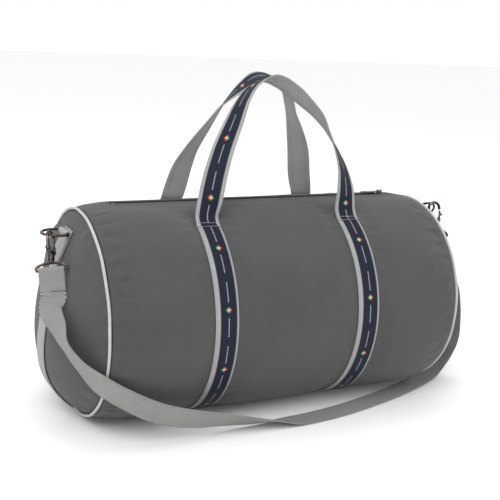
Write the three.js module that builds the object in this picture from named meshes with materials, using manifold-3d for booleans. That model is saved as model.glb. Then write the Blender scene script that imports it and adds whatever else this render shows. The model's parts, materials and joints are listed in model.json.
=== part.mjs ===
// Barrel duffel bag: a canvas cylinder on its side with piped round ends, a zip along the top, two webbing
// carrying handles faced with ribbon, and a clip-on shoulder strap. Millimetres, +X to the right end, -Y to
// the front, +Z up. The origin is the middle of the face that the bag rests on.
import * as THREE from 'three';
import { mergeVertices } from 'three/addons/utils/BufferGeometryUtils.js';
import Module from 'manifold-3d';

const wasm = await Module();
wasm.setup();

// ---- Driving dimensions ---------------------------------------------------------------------------------
const HALF_LENGTH = 254;          // from the middle to the piping at each end
const MID_RADIUS = 143;           // outer radius of the filled canvas tube
const END_RADIUS = 134.5;         // radius of the piped seam at each end
const MID_AXIS_Z = 138;           // height of the tube's axis, low enough for the canvas to rest flat
const END_AXIS_Z = 139;
const TAPER_START = 206;          // where the tube begins to draw in to its ends
const CANVAS = 1.5;               // canvas and its lining, as one wall
const GAP = 0.35;                 // clearance between pieces that touch

const PIPING_RADIUS = 2.6;
const PANEL_RADIUS = END_RADIUS - PIPING_RADIUS - GAP;
const BULGE = 42;                 // how far the filled end panels stand out

const WEBBING_WIDTH = 32;
const WEBBING = 1.6;
const RIBBON_WIDTH = 22;
const RIBBON = 0.5;
const RIBBON_CLEARANCE = 0.9;     // to the webbing of the handles, whose faces twist
const BAND_X = 104;               // the two bands that go round the bag, and the handles' feet
const BAND_TOP_DEG = 30;          // where the handles' feet leave the canvas, from the top of the bag
const BAND_INSET = 2.7;           // how far the webbing and its ribbon pull the canvas in
const RIBBON_SHIFT = 1.5;         // the ribbon is sewn a little off the middle of the band

const SLOT_HALF_WIDTH = 10;       // the zip's opening in the canvas
const SLOT_HALF_LENGTH = 216;
const COIL_HALF_LENGTH = 207;
const SLIDER_X = 199;             // the slider is parked at the right end, with the zip closed

const WIRE_RADIUS = 1.75;         // the D-rings' wire
const RING_BAR_Z = 246;
const RING_BAR_X = 272;
const RING_STRAIGHT = 11;         // from the bar to the middle of the bow
const RING_BOW = 18.3;            // radius of the bow's centreline

const EYE_ROD = 1.9;              // rod radius of the snap hooks' strap eyes
const EYE_BAR_DROP = 46.5;        // from the D-ring's wire to the bar that holds the strap
const FOLD_LENGTH = 26;           // the strap's sewn fold, below that bar

// ---- Finishes -------------------------------------------------------------------------------------------
const finish = (color, roughness, metalness) => () => new THREE.MeshStandardMaterial({ color, roughness, metalness });
const canvas = finish(0x57585a, 0.92, 0);
const pipingCloth = finish(0xd2d4d4, 0.8, 0);
const webbing = finish(0xaeb0b1, 0.88, 0);
const ribbon = finish(0x1a2233, 0.55, 0);
const zipCloth = finish(0x4a4b4e, 0.9, 0);
const zipCoil = finish(0x3c3d40, 0.6, 0);
const metal = finish(0x6b625a, 0.3, 1);
const spring = finish(0x8d8f92, 0.35, 1);

// ---- Solids ---------------------------------------------------------------------------------------------
const bag = new THREE.Group();

function add(name, geometry, material) {
  const mesh = new THREE.Mesh(geometry, material());
  mesh.name = name;
  bag.add(mesh);
  return mesh;
}

function welded(geometry) {
  const bare = geometry.clone();
  bare.deleteAttribute('normal');
  bare.deleteAttribute('uv');
  return mergeVertices(bare, 1e-4);
}

function toManifold(geometry) {
  const solid = welded(geometry);
  return new wasm.Manifold(new wasm.Mesh({
    numProp: 3,
    vertProperties: new Float32Array(solid.attributes.position.array),
    triVerts: new Uint32Array(solid.index.array),
  }));
}

function fromManifold(manifold) {
  const mesh = manifold.getMesh();
  const geometry = new THREE.BufferGeometry();
  geometry.setAttribute('position', new THREE.Float32BufferAttribute(mesh.vertProperties, 3));
  geometry.setIndex(new THREE.Uint32BufferAttribute(mesh.triVerts, 1));
  return geometry;
}

const join = (...parts) => fromManifold(parts.map(toManifold).reduce((whole, part) => whole.add(part)));
const cut = (body, ...tools) => fromManifold(tools.map(toManifold).reduce((rest, tool) => rest.subtract(tool),
  toManifold(body)));

// A closed solid from a grid of points: rows of one length, each row a loop that runs anticlockwise when
// seen from the last row. The rows are joined in order, and the ends are capped or joined to each other.
function loft(rows, closed = false) {
  const n = rows[0].length;
  const positions = rows.flat().flatMap((point) => [point.x, point.y, point.z]);
  const index = [];
  const last = closed ? rows.length : rows.length - 1;
  for (let i = 0; i < last; i += 1) {
    const a = i * n;
    const b = ((i + 1) % rows.length) * n;
    for (let j = 0; j < n; j += 1) {
      const k = (j + 1) % n;
      index.push(a + j, a + k, b + j, a + k, b + k, b + j);
    }
  }
  if (!closed) {
    const end = (rows.length - 1) * n;
    for (let j = 1; j < n - 1; j += 1) {
      index.push(0, j + 1, j, end, end + j, end + j + 1);
    }
  }
  const geometry = new THREE.BufferGeometry();
  geometry.setAttribute('position', new THREE.Float32BufferAttribute(positions, 3));
  geometry.setIndex(index);
  return geometry;
}

// ---- The bag's surface ----------------------------------------------------------------------------------
const smooth = (t) => { const s = THREE.MathUtils.clamp(t, 0, 1); return s * s * (3 - 2 * s); };
const taper = (x) => THREE.MathUtils.clamp((Math.abs(x) - TAPER_START) / (HALF_LENGTH - TAPER_START), 0, 1);
const tubeRadius = (x) => MID_RADIUS - (MID_RADIUS - END_RADIUS) * taper(x) ** 1.8;
const axisZ = (x) => MID_AXIS_Z + (END_AXIS_Z - MID_AXIS_Z) * taper(x);

// How far the canvas is drawn in under a band, from nothing near the zip to the full inset at the handles.
function inset(x, angle) {
  const across = 1 - smooth((Math.abs(Math.abs(x) - BAND_X) - 18) / 30);
  const around = smooth((Math.abs(THREE.MathUtils.radToDeg(angle)) - 15) / 7);
  return BAND_INSET * across * around;
}

// A point of the bag's outer surface, moved out by offset. The angle is from the top, positive to the rear.
function tubePoint(x, angle, offset) {
  const out = tubeRadius(x) - inset(x, angle) + offset;
  const lift = inset(x, angle) - offset;
  return new THREE.Vector3(x, out * Math.sin(angle), Math.max(axisZ(x) + out * Math.cos(angle), lift));
}

// A strip that lies on the bag's surface between two angles, from offset inner to offset outer.
function skinStrip(x0, x1, angles, inner, outer) {
  return loft(angles.map((a) => [
    tubePoint(x0, a, outer), tubePoint(x1, a, outer), tubePoint(x1, a, inner), tubePoint(x0, a, inner)]));
}

const STEP = THREE.MathUtils.degToRad(7.5);
const roundTheBag = Array.from({ length: 48 }, (_, i) => (i > 24 ? i - 48 : i) * STEP);

function bodyPanel() {
  const half = [251, 244, 234, 222, TAPER_START, 150, BAND_X + 17.5, BAND_X - 17.5, 52];
  const stations = [...half.map((x) => -x), ...half.reverse()];
  const rows = [...stations.map((x) => roundTheBag.map((a) => tubePoint(x, a, -CANVAS))),
    ...stations.reverse().map((x) => roundTheBag.map((a) => tubePoint(x, a, 0)))];
  const slot = new THREE.BoxGeometry(2 * SLOT_HALF_LENGTH, 2 * SLOT_HALF_WIDTH, 40);
  slot.translate(0, 0, MID_AXIS_Z + MID_RADIUS);
  return cut(loft(rows, true), slot);
}

// How far an end panel stands out of the plane of its seam, at height z and distance y from the middle.
function bulge(y, z) {
  const high = (z - END_AXIS_Z) / END_RADIUS;
  const share = Math.min(Math.hypot(y, z - END_AXIS_Z) / PANEL_RADIUS, 1);
  return BULGE * (1 - share ** 3) * (1 - 0.45 * high);
}

function endPanel(side) {
  const turns = 36;
  const rings = [0.12, 0.32, 0.5, 0.66, 0.8, 0.91, 1];
  const positions = [];
  const index = [];
  const put = (share, turn, depth) => {
    const y = PANEL_RADIUS * share * Math.cos(turn);
    const z = END_AXIS_Z + PANEL_RADIUS * share * Math.sin(turn);
    positions.push(side * (HALF_LENGTH + bulge(y, z) - depth), y, z);
    return positions.length / 3 - 1;
  };
  const face = (...corners) => index.push(...(side > 0 ? corners : corners.reverse()));
  const skins = [0, CANVAS].map((depth) => ({
    centre: put(0, 0, depth),
    rings: rings.map((share) => Array.from({ length: turns }, (_, i) => put(share, i * 2 * Math.PI / turns, depth))),
  }));
  skins.forEach((skin, inside) => {
    const outward = (a, b, c) => (inside ? face(a, c, b) : face(a, b, c));
    for (let i = 0; i < turns; i += 1) {
      const k = (i + 1) % turns;
      outward(skin.centre, skin.rings[0][i], skin.rings[0][k]);
      for (let r = 0; r < rings.length - 1; r += 1) {
        const [a, b] = [skin.rings[r], skin.rings[r + 1]];
        outward(a[i], b[i], b[k]);
        outward(a[i], b[k], a[k]);
      }
    }
  });
  const [outer, inner] = skins.map((skin) => skin.rings.at(-1));
  for (let i = 0; i < turns; i += 1) {
    const k = (i + 1) % turns;
    face(outer[i], inner[i], inner[k]);
    face(outer[i], inner[k], outer[k]);
  }
  const geometry = new THREE.BufferGeometry();
  geometry.setAttribute('position', new THREE.Float32BufferAttribute(positions, 3));
  geometry.setIndex(index);
  return geometry;
}

// A ring round the bag near one end, with a section of (along X, outward) points.
function seamRing(side, section, x, radius) {
  const rows = roundTheBag.map((a) => section.map(([along, out]) => new THREE.Vector3(
    side * (x + along), (radius + out) * Math.sin(a), END_AXIS_Z + (radius + out) * Math.cos(a))));
  return loft(side > 0 ? rows : rows.map((row) => row.reverse()), true);
}

// ---- Straps ---------------------------------------------------------------------------------------------
// A strap follows stations of a place and a direction across it. Its face points to across x travel, and
// rise moves it off its line along that face.
function strap(stations, steps, width, thickness, rise = 0, shift = 0) {
  const place = new THREE.CatmullRomCurve3(stations.map((s) => new THREE.Vector3(...s.at)), false, 'centripetal');
  const across = new THREE.CatmullRomCurve3(stations.map((s) => new THREE.Vector3(...s.across).normalize()),
    false, 'centripetal');
  const rows = [];
  for (let i = 0; i <= steps; i += 1) {
    const t = i / steps;
    const travel = place.getTangent(t);
    const wide = across.getPoint(t);
    wide.addScaledVector(travel, -wide.dot(travel)).normalize();
    const face = new THREE.Vector3().crossVectors(wide, travel);
    const centre = place.getPoint(t).addScaledVector(face, rise).addScaledVector(wide, shift);
    const point = (w, f) => centre.clone().addScaledVector(wide, w * width / 2)
      .addScaledVector(face, f * thickness / 2);
    rows.push([point(-1, -1), point(-1, 1), point(0, 1), point(1, 1), point(1, -1), point(0, -1)]);
  }
  return loft(rows);
}

const at = (x, y, z, ...across) => ({ at: [x, y, z], across });

const HANDLE_FOOT_Y = 68.3;
const HANDLE_FOOT_Z = 263.4;

// Both handles lean in and meet over the zip. Each twists a quarter turn up each leg, so that its face is
// outward at its feet and up at its top.
const FRONT_HANDLE = [
  at(-104, -HANDLE_FOOT_Y, HANDLE_FOOT_Z, 1, 0, 0), at(-103, -61, 273, 1, 0, 0), at(-98, -58, 293, 0.95, -0.3, 0),
  at(-89, -51, 323, 0.8, -0.6, 0), at(-76, -42, 355, 0.65, -0.75, 0), at(-60, -34, 386, 0.45, -0.9, 0),
  at(-43, -26, 417, 0.2, -0.95, 0.15), at(-28, -21, 434, 0.1, -0.97, 0.2), at(-12, -18, 443, 0.05, -0.95, 0.25),
  at(2, -17, 445, 0.05, -0.9, 0.4), at(17, -18, 440, 0.1, -0.88, 0.45), at(34, -22, 429, 0.1, -0.88, 0.45),
  at(51, -26, 415, 0.05, -0.92, 0.35), at(69, -31, 398, -0.05, -0.97, 0.2), at(80, -36, 381, -0.3, -0.95, 0.1),
  at(88, -41, 364, -0.45, -0.9, 0), at(97, -46, 344, -0.65, -0.75, 0), at(103, -51, 324, -0.8, -0.55, 0),
  at(105, -57, 300, -0.95, -0.25, 0), at(104.5, -61, 273, -1, 0, 0), at(104, -HANDLE_FOOT_Y, HANDLE_FOOT_Z, -1, 0, 0),
];
const REAR_HANDLE = [
  at(-104, HANDLE_FOOT_Y, HANDLE_FOOT_Z, -1, 0, 0), at(-103, 61, 273, -1, 0, 0), at(-98, 59, 291, -0.98, 0, 0.1),
  at(-92, 54, 317, -0.95, -0.2, 0.15), at(-84, 47, 340, -0.85, -0.5, 0.15), at(-65, 38, 374, -0.65, -0.7, 0.15),
  at(-46, 29, 405, -0.45, -0.88, 0.05), at(-25, 22, 428, -0.1, -0.98, -0.15), at(-4, 17.5, 444, 0, -0.95, -0.3),
  at(18, 18, 443, 0, -0.93, -0.35), at(45, 23, 427, 0.05, -0.97, -0.25), at(60, 31, 398, 0.05, -0.97, -0.2),
  at(70, 36, 376, 0.3, -0.93, -0.15), at(84, 46, 341, 0.68, -0.73, 0), at(94, 56, 303, 0.92, -0.38, 0),
  at(102.5, 61, 273, 1, 0, 0), at(104, HANDLE_FOOT_Y, HANDLE_FOOT_Z, 1, 0, 0),
];

// The shoulder strap between its two sewn folds: down past the left end panel, along the floor in front of
// the bag, and up again at the right end.
const SHOULDER_STRAP = [
  at(-305, -59, 164, 0.72, -0.62, 0.3), at(-299, -77, 144, 0.3, -0.75, 0.6),
  at(-295, -97, 125, -0.1, -0.8, 0.6), at(-282, -112, 106, 0, -0.8, 0.6), at(-260, -127, 85, 0.3, -0.58, 0.76),
  at(-229, -137, 65, 0.36, -0.46, 0.82), at(-193, -140, 46, 0.33, -0.36, 0.87), at(-149, -140, 32, 0.24, -0.4, 0.88),
  at(-96, -138, 22, 0.18, -0.65, 0.74), at(-36, -134, 10, 0.14, -0.86, 0.45), at(14, -128, 2.5, 0.13, -0.99, 0.03),
  at(60, -122, 2, 0.17, -0.98, 0), at(106, -112, 2, 0.24, -0.97, 0), at(150, -99, 2, 0.3, -0.95, 0),
  at(200, -82, 2, 0.36, -0.93, 0), at(250, -60, 2, 0.4, -0.92, 0), at(289, -42, 6, 0.4, -0.92, 0),
  at(313, -34, 23, 0.35, -0.94, 0), at(322, -38, 46, 0.3, -0.95, 0), at(321, -47, 70, 0.25, -0.97, 0),
  at(316, -53, 95, 0.22, -0.97, 0), at(312, -54, 120, 0.25, -0.97, 0), at(308, -48, 145, 0.35, -0.94, 0),
  at(302.5, -30, 166, 0.35, -0.93, 0),
];

// ---- Canvas, seams, bands -------------------------------------------------------------------------------
add('body_panel', bodyPanel(), canvas);

const sides = [['left', -1], ['right', 1]];
const circle = (radius, count) => Array.from({ length: count }, (_, i) => {
  const a = i * 2 * Math.PI / count;
  return [radius * Math.sin(a), radius * Math.cos(a)];
});
const box = (x0, x1, z0, z1) => [[x0, z0], [x0, z1], [x1, z1], [x1, z0]];

for (const [name, side] of sides) {
  add(`${name}_end_panel`, endPanel(side), canvas);
  add(`${name}_piping`, seamRing(side, circle(PIPING_RADIUS, 6), HALF_LENGTH, END_RADIUS), pipingCloth);
  add(`${name}_seam_binding`, seamRing(side, box(-12, -3.5, -2.2, 0), HALF_LENGTH, 130.6), zipCloth);

  const bandAngles = Array.from({ length: 41 }, (_, i) => THREE.MathUtils.degToRad(BAND_TOP_DEG) + i * STEP);
  const [x0, x1] = [side * BAND_X - WEBBING_WIDTH / 2, side * BAND_X + WEBBING_WIDTH / 2];
  const middle = side * BAND_X + RIBBON_SHIFT;
  add(`${name}_band`, skinStrip(x0, x1, bandAngles, GAP, GAP + WEBBING), webbing);
  add(`${name}_band_ribbon`, skinStrip(middle - RIBBON_WIDTH / 2, middle + RIBBON_WIDTH / 2, bandAngles,
    GAP + WEBBING + 0.25, BAND_INSET), ribbon);
}

// ---- Handles --------------------------------------------------------------------------------------------
for (const [name, route] of [['front', FRONT_HANDLE], ['rear', REAR_HANDLE]]) {
  add(`${name}_handle`, strap(route, 64, WEBBING_WIDTH, WEBBING), webbing);
  const rise = WEBBING / 2 + RIBBON_CLEARANCE + RIBBON / 2;
  add(`${name}_handle_ribbon`, strap(route, 72, RIBBON_WIDTH, RIBBON, rise), ribbon);
}

// ---- Zip ------------------------------------------------------------------------------------------------
const CROWN_Z = MID_AXIS_Z + MID_RADIUS;      // height of the bag's top line

for (const [name, hand] of [['front', -1], ['rear', 1]]) {
  const tapeAngles = [3.4, 8, 13, 18].map((arc) => hand * arc / MID_RADIUS);
  const tape = skinStrip(-COIL_HALF_LENGTH, COIL_HALF_LENGTH, hand > 0 ? tapeAngles : tapeAngles.reverse(),
    -CANVAS - GAP - 0.7, -CANVAS - GAP);
  add(`zipper_tape_${name}`, tape, zipCloth);
  const coil = new THREE.BoxGeometry(2 * COIL_HALF_LENGTH - 2, 2.3, 2.2);
  coil.translate(0, hand * 1.8, CROWN_Z - 1.9);
  add(`zipper_coil_${name}`, coil, zipCoil);
}

for (const [name, side] of sides) {
  const stop = new THREE.BoxGeometry(4, 6, 3);
  stop.translate(side * (COIL_HALF_LENGTH + 1.5), 0, CROWN_Z - 1.9);
  add(`zipper_${name}_stop`, stop, metal);
}

// The slider's plates ride above and below the coils on a thin web between them, and the pull's staple
// stands on the upper plate.
function zipSlider() {
  const plate = (length, width, height, z) => {
    const solid = new THREE.BoxGeometry(length, width, height);
    solid.translate(SLIDER_X, 0, CROWN_Z + z);
    return solid;
  };
  const upper = plate(13, 8.5, 1.4, 0.35);
  const lower = plate(13, 8.5, 1.2, -4.4);
  const web = plate(6, 0.6, 4.6, -2);
  const staple = cut(plate(8, 2, 5.2, 3.2), plate(4.6, 4, 2.6, 3.4));
  return join(upper, lower, web, staple);
}
add('zipper_slider', zipSlider(), metal);

// The pull lies flat towards the left, with its ring end through the staple.
const PULL_PIVOT_Z = CROWN_Z + 3.4;
function zipPull() {
  const outline = new THREE.Shape();
  outline.absarc(0, 0, 3.4, -Math.PI / 2, Math.PI / 2, false);
  outline.lineTo(-26, 4.2);
  outline.absarc(-26, 0, 4.2, Math.PI / 2, 1.5 * Math.PI, false);
  const eye = new THREE.Path();
  eye.moveTo(-3.2, -1.6);
  eye.lineTo(1.8, -1.6);
  eye.lineTo(1.8, 1.6);
  eye.lineTo(-3.2, 1.6);
  outline.holes.push(eye);
  const grip = new THREE.Path();
  grip.absarc(-24, 0, 1.8, 0, 2 * Math.PI, true);
  outline.holes.push(grip);
  const pull = new THREE.ExtrudeGeometry(outline, { depth: 1.2, bevelEnabled: false, curveSegments: 8 });
  pull.translate(SLIDER_X - 1.4, 0, PULL_PIVOT_Z - 0.6);
  return pull;
}
add('zipper_pull', zipPull(), metal);

// ---- D-rings and their straps ---------------------------------------------------------------------------
// A closed wire bent along points, as a solid.
function wire(points, radius) {
  const path = new THREE.CatmullRomCurve3(points, true, 'catmullrom', 0.2);
  return new THREE.TubeGeometry(path, Math.round(points.length * 1.6), radius, 8, true);
}

// An end strap runs down the middle of the end panel, sewn flat on it.
function endStrap(side) {
  const rows = [];
  for (let z = 229; z >= 12; z -= 12) {
    const corner = (y, out) => new THREE.Vector3(side * (HALF_LENGTH + bulge(y, z) + out), y, z);
    const half = WEBBING_WIDTH / 2;
    const row = [-half, 0, half].map((y) => corner(y, GAP + 0.3));
    row.push(...[half, 0, -half].map((y) => corner(y, GAP + 0.3 + WEBBING)));
    rows.push(side > 0 ? row : row.reverse());
  }
  return loft(rows);
}

// The tab is the same webbing folded round the D-ring's bar: two plies on the panel and a round loop.
function ringTab(side) {
  const back = (z) => HALF_LENGTH + bulge(0, z) + GAP;
  const ply = new THREE.Shape();
  const heights = [260, 256, 252, 248, 244, 240, 236, 232];
  heights.forEach((z, i) => (i ? ply.lineTo(back(z), z) : ply.moveTo(back(z), z)));
  heights.reverse().forEach((z) => ply.lineTo(back(z) + 2 * WEBBING - 0.6, z));
  const half = WEBBING_WIDTH / 2;
  const solid = (shape) => new THREE.ExtrudeGeometry(shape, { depth: WEBBING_WIDTH, bevelEnabled: false })
    .rotateX(Math.PI / 2).translate(0, half, 0);
  const round = (radius, length) => new THREE.CylinderGeometry(radius, radius, length, 16)
    .translate(RING_BAR_X, 0, RING_BAR_Z);
  const tab = cut(join(solid(ply), round(WIRE_RADIUS + GAP + WEBBING, WEBBING_WIDTH)),
    round(WIRE_RADIUS + GAP + 0.15, WEBBING_WIDTH + 2));
  return side > 0 ? tab : tab.rotateZ(Math.PI);
}

// A D-ring about its bar, which lies along Y, with its bow raised by lift above the level.
function dRing(side, lift) {
  const points = [];
  const corner = RING_BOW - 1.3;
  for (let i = 0; i <= 4; i += 1) points.push([0, -corner + i * corner / 2]);
  points.push([1.3, RING_BOW]);
  for (let i = 0; i <= 10; i += 1) {
    const a = Math.PI / 2 - i * Math.PI / 10;
    points.push([RING_STRAIGHT + RING_BOW * Math.cos(a), RING_BOW * Math.sin(a)]);
  }
  points.push([1.3, -RING_BOW]);
  const along = new THREE.Vector3(side * Math.cos(lift), 0, Math.sin(lift));
  const place = ([out, y]) => new THREE.Vector3(side * RING_BAR_X, y, RING_BAR_Z).addScaledVector(along, out);
  return wire(points.map(place), WIRE_RADIUS);
}

// ---- Snap hooks -----------------------------------------------------------------------------------------
// Each hook hangs on its D-ring's bow. Its own frame has its origin at the wire, X along the strap eye's
// bar and Z up its shank. The claw lies in the YZ plane, turned about the shank to take the ring's wire.
const CLAW_ROD = 2.2;
const CLAW_RADIUS = 7.7;
const CLAW_Z = -2.9;
const GATE_PIVOT = [5.6, -20.5];
const SLEEVE_TOP = -26;
const SLEEVE_BOTTOM = -34;

const hooks = {
  left: {
    wire: [-293.8, -14.6, 246],
    up: [0.126, 0.585, 0.803],
    across: [0.92, -0.38, 0.13],
    fold: [-0.2, -0.25, -0.945],
    turn: THREE.MathUtils.degToRad(-18),
  },
  right: {
    wire: [294, -9.15, 261.4],
    up: [-0.1, 0.15, 0.98],
    across: [0.35, -0.93, 0.15],
    fold: [0.03, -0.2, -0.98],
    turn: THREE.MathUtils.degToRad(-46),
  },
};

function hookFrame(hook) {
  const up = new THREE.Vector3(...hook.up).normalize();
  const across = new THREE.Vector3(...hook.across);
  across.addScaledVector(up, -across.dot(up)).normalize();
  const deep = new THREE.Vector3().crossVectors(up, across);
  return new THREE.Matrix4().makeBasis(across, deep, up).setPosition(...hook.wire);
}

// The frame of the strap's fold: its origin is the middle of the eye's bar, and the fold hangs down its -Z.
function foldFrame(hook, frame) {
  const across = new THREE.Vector3().setFromMatrixColumn(frame, 0);
  const up = new THREE.Vector3(...hook.fold).negate();
  up.addScaledVector(across, -up.dot(across)).normalize();
  const bar = new THREE.Vector3(0, 0, -EYE_BAR_DROP).applyMatrix4(frame);
  return new THREE.Matrix4().makeBasis(across, new THREE.Vector3().crossVectors(up, across), up).setPosition(bar);
}

// A round rod along points, with flat ends.
function rod(points, radius, steps) {
  const section = new THREE.Shape();
  section.absarc(0, 0, radius, 0, 2 * Math.PI, false);
  const path = new THREE.CatmullRomCurve3(points.map((p) => new THREE.Vector3(...p)), false, 'catmullrom', 0.3);
  return new THREE.ExtrudeGeometry(section, { extrudePath: path, steps, curveSegments: 4, bevelEnabled: false });
}

// A solid of revolution about the shank's axis, from (radius, height) points.
const turned = (points) => new THREE.LatheGeometry(points.map(([r, z]) => new THREE.Vector2(r, z)), 16)
  .rotateX(Math.PI / 2);

// A plate in the YZ plane with an outline of (y, z) points, centred on x = 0.
function plate(points, thickness) {
  const outline = new THREE.Shape(points.map(([y, z]) => new THREE.Vector2(y, z)));
  return new THREE.ExtrudeGeometry(outline, { depth: thickness, bevelEnabled: false })
    .translate(0, 0, -thickness / 2).rotateY(Math.PI / 2).rotateX(Math.PI / 2);
}

const crossPin = (radius, length) => new THREE.CylinderGeometry(radius, radius, length, 10)
  .rotateZ(Math.PI / 2).translate(0, ...GATE_PIVOT);

function hookBody() {
  const claw = [[0, -CLAW_RADIUS, -21], [0, -CLAW_RADIUS, -14], [0, -CLAW_RADIUS, -8]];
  for (let i = 0; i <= 6; i += 1) {
    const a = Math.PI - i * Math.PI / 6;
    claw.push([0, CLAW_RADIUS * Math.cos(a), CLAW_Z + CLAW_RADIUS * Math.sin(a)]);
  }
  claw.push([0, CLAW_RADIUS, CLAW_Z - 4]);
  const bridge = plate([[-9.8, -17], [-5.6, -17], [-5.2, -22], [4, -22], [4, -18.6], [8, -18.6], [8, -23.5],
    [4.4, SLEEVE_TOP - 1], [-4.4, SLEEVE_TOP - 1]], 6);
  const sleeve = turned([[2.1, SLEEVE_BOTTOM], [4.4, SLEEVE_BOTTOM], [4.4, SLEEVE_TOP - 0.5], [2.1, SLEEVE_TOP - 0.5],
    [2.1, SLEEVE_BOTTOM]]);
  const window = new THREE.BoxGeometry(10, 7.4, 2.8).translate(0, 0, SLEEVE_TOP + 0.9);
  const bore = turned([[0, SLEEVE_TOP - 3], [2.1, SLEEVE_TOP - 3], [2.1, SLEEVE_TOP + 1], [0, SLEEVE_TOP + 1]]);
  const gateSlot = new THREE.BoxGeometry(2.6, 7, 6).translate(0, 6.6, -19.4);
  const pinHole = crossPin(1, 8);
  return cut(join(rod(claw, CLAW_ROD, 20), bridge, sleeve), window, bore, gateSlot, pinHole);
}

// The gate closes the claw from below and has a thumb tab on its outer side.
function hookGate() {
  const lever = plate([[6.6, -8.3], [8.9, -8.3], [9.3, -12], [11.4, -14.2], [11.4, -16], [8.6, -16.2], [7.4, -20],
    [6.2, -22], [4.8, -21.6], [4.6, -19.6], [6, -14]], 2);
  return cut(lever, crossPin(1, 8));
}

function gateSpring() {
  const points = [];
  for (let i = 0; i <= 6; i += 1) points.push([0, -4.9 + i * 0.7, -19.4 + 0.5 * Math.sin(i)]);
  return rod(points, 0.35, 12);
}

// The eye: a stud that turns in the sleeve under a riveted head, and the loop that the strap goes round.
function swivelEye() {
  const stud = turned([[0, -38], [1.7, -38], [1.7, SLEEVE_TOP + 0.1], [3.1, SLEEVE_TOP + 0.1], [3.1, SLEEVE_TOP + 1.5],
    [0, SLEEVE_TOP + 1.9]]);
  const collar = turned([[0, -37.6], [3.6, -37.6], [3.6, SLEEVE_BOTTOM - 0.35], [0, SLEEVE_BOTTOM - 0.35]]);
  const half = WEBBING_WIDTH / 2 + 3.8;
  const loop = [];
  for (let i = 0; i < 6; i += 1) loop.push([-half + 1 + i * (2 * half - 2) / 5, -EYE_BAR_DROP]);
  for (let i = 0; i <= 10; i += 1) {
    const a = i * Math.PI / 10;
    loop.push([half * Math.cos(a), -EYE_BAR_DROP + 1.6 + 7.9 * Math.sin(a)]);
  }
  const ring = wire(loop.map(([x, z]) => new THREE.Vector3(x, 0, z)), EYE_ROD);
  return join(stud, collar, ring);
}

// The strap's end goes round the eye's bar and is sewn back on itself.
function strapEnd() {
  const outer = EYE_ROD + GAP + WEBBING;
  const half = WEBBING + 0.1;
  const round = (radius, length) => new THREE.CylinderGeometry(radius, radius, length, 16).rotateZ(Math.PI / 2);
  const plies = plate([[-outer, 0], [outer, 0], [half, -11], [half, -FOLD_LENGTH], [-half, -FOLD_LENGTH], [-half, -11]]
    .reverse(), WEBBING_WIDTH);
  return cut(join(plies, round(outer, WEBBING_WIDTH)), round(EYE_ROD + GAP, WEBBING_WIDTH + 2));
}

const strapEnds = {};
for (const [name, side] of sides) {
  add(`${name}_end_strap`, endStrap(side), webbing);
  add(`${name}_d_ring_tab`, ringTab(side), webbing);
  add(`${name}_d_ring`, dRing(side, side > 0 ? THREE.MathUtils.degToRad(35) : 0), metal);

  const hook = hooks[name];
  const frame = hookFrame(hook);
  const turnedFrame = frame.clone().multiply(new THREE.Matrix4().makeRotationZ(hook.turn));
  add(`${name}_hook_body`, hookBody().applyMatrix4(turnedFrame), metal);
  add(`${name}_hook_gate`, hookGate().applyMatrix4(turnedFrame), metal);
  add(`${name}_gate_pin`, crossPin(0.85, 6).applyMatrix4(turnedFrame), metal);
  add(`${name}_gate_spring`, gateSpring().applyMatrix4(turnedFrame), spring);
  add(`${name}_swivel_eye`, swivelEye().applyMatrix4(frame), metal);

  const fold = foldFrame(hook, frame);
  add(`${name}_strap_end`, strapEnd().applyMatrix4(fold), webbing);
  strapEnds[name] = [0.8, 7].map((gap) => {
    const place = new THREE.Vector3(0, 0, -FOLD_LENGTH - gap).applyMatrix4(fold);
    return at(...place.toArray(), fold.elements[0], fold.elements[1], fold.elements[2]);
  });
}

const strapRoute = [...strapEnds.left, ...SHOULDER_STRAP, ...strapEnds.right.reverse()];
add('shoulder_strap', strap(strapRoute, 90, WEBBING_WIDTH, WEBBING), webbing);

export default bag;
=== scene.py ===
"""Barrel duffel bag: the finished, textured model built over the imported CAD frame. Metres, +Z up."""

import json
import logging
import math
from dataclasses import dataclass, field
from enum import Enum

import bmesh
import bpy
import numpy as np
from mathutils import Matrix, Vector

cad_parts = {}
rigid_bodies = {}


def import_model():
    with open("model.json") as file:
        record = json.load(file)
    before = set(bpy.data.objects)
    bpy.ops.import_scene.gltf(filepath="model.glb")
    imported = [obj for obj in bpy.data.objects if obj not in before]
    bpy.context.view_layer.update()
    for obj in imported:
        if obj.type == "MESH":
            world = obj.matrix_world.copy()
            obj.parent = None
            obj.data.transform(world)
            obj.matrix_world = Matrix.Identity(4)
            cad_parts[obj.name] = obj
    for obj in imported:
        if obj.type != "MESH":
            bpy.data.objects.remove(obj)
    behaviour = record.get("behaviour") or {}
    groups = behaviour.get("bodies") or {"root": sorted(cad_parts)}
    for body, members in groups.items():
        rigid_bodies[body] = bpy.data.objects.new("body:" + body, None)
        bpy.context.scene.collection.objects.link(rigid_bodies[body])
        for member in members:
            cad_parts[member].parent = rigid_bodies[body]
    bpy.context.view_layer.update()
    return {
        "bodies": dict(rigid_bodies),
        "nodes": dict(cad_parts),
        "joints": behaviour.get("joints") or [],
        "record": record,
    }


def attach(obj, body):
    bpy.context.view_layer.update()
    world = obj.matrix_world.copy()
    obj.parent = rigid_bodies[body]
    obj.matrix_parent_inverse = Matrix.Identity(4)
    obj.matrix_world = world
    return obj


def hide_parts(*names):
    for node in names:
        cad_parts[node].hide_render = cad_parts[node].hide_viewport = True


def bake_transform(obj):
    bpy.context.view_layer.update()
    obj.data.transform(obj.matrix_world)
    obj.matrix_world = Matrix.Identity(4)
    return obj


LOG = logging.getLogger("bag")
MM = 0.001
Array = np.ndarray


class Hand(Enum):
    """An end of the bag."""

    LEFT = -1
    RIGHT = 1


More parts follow.
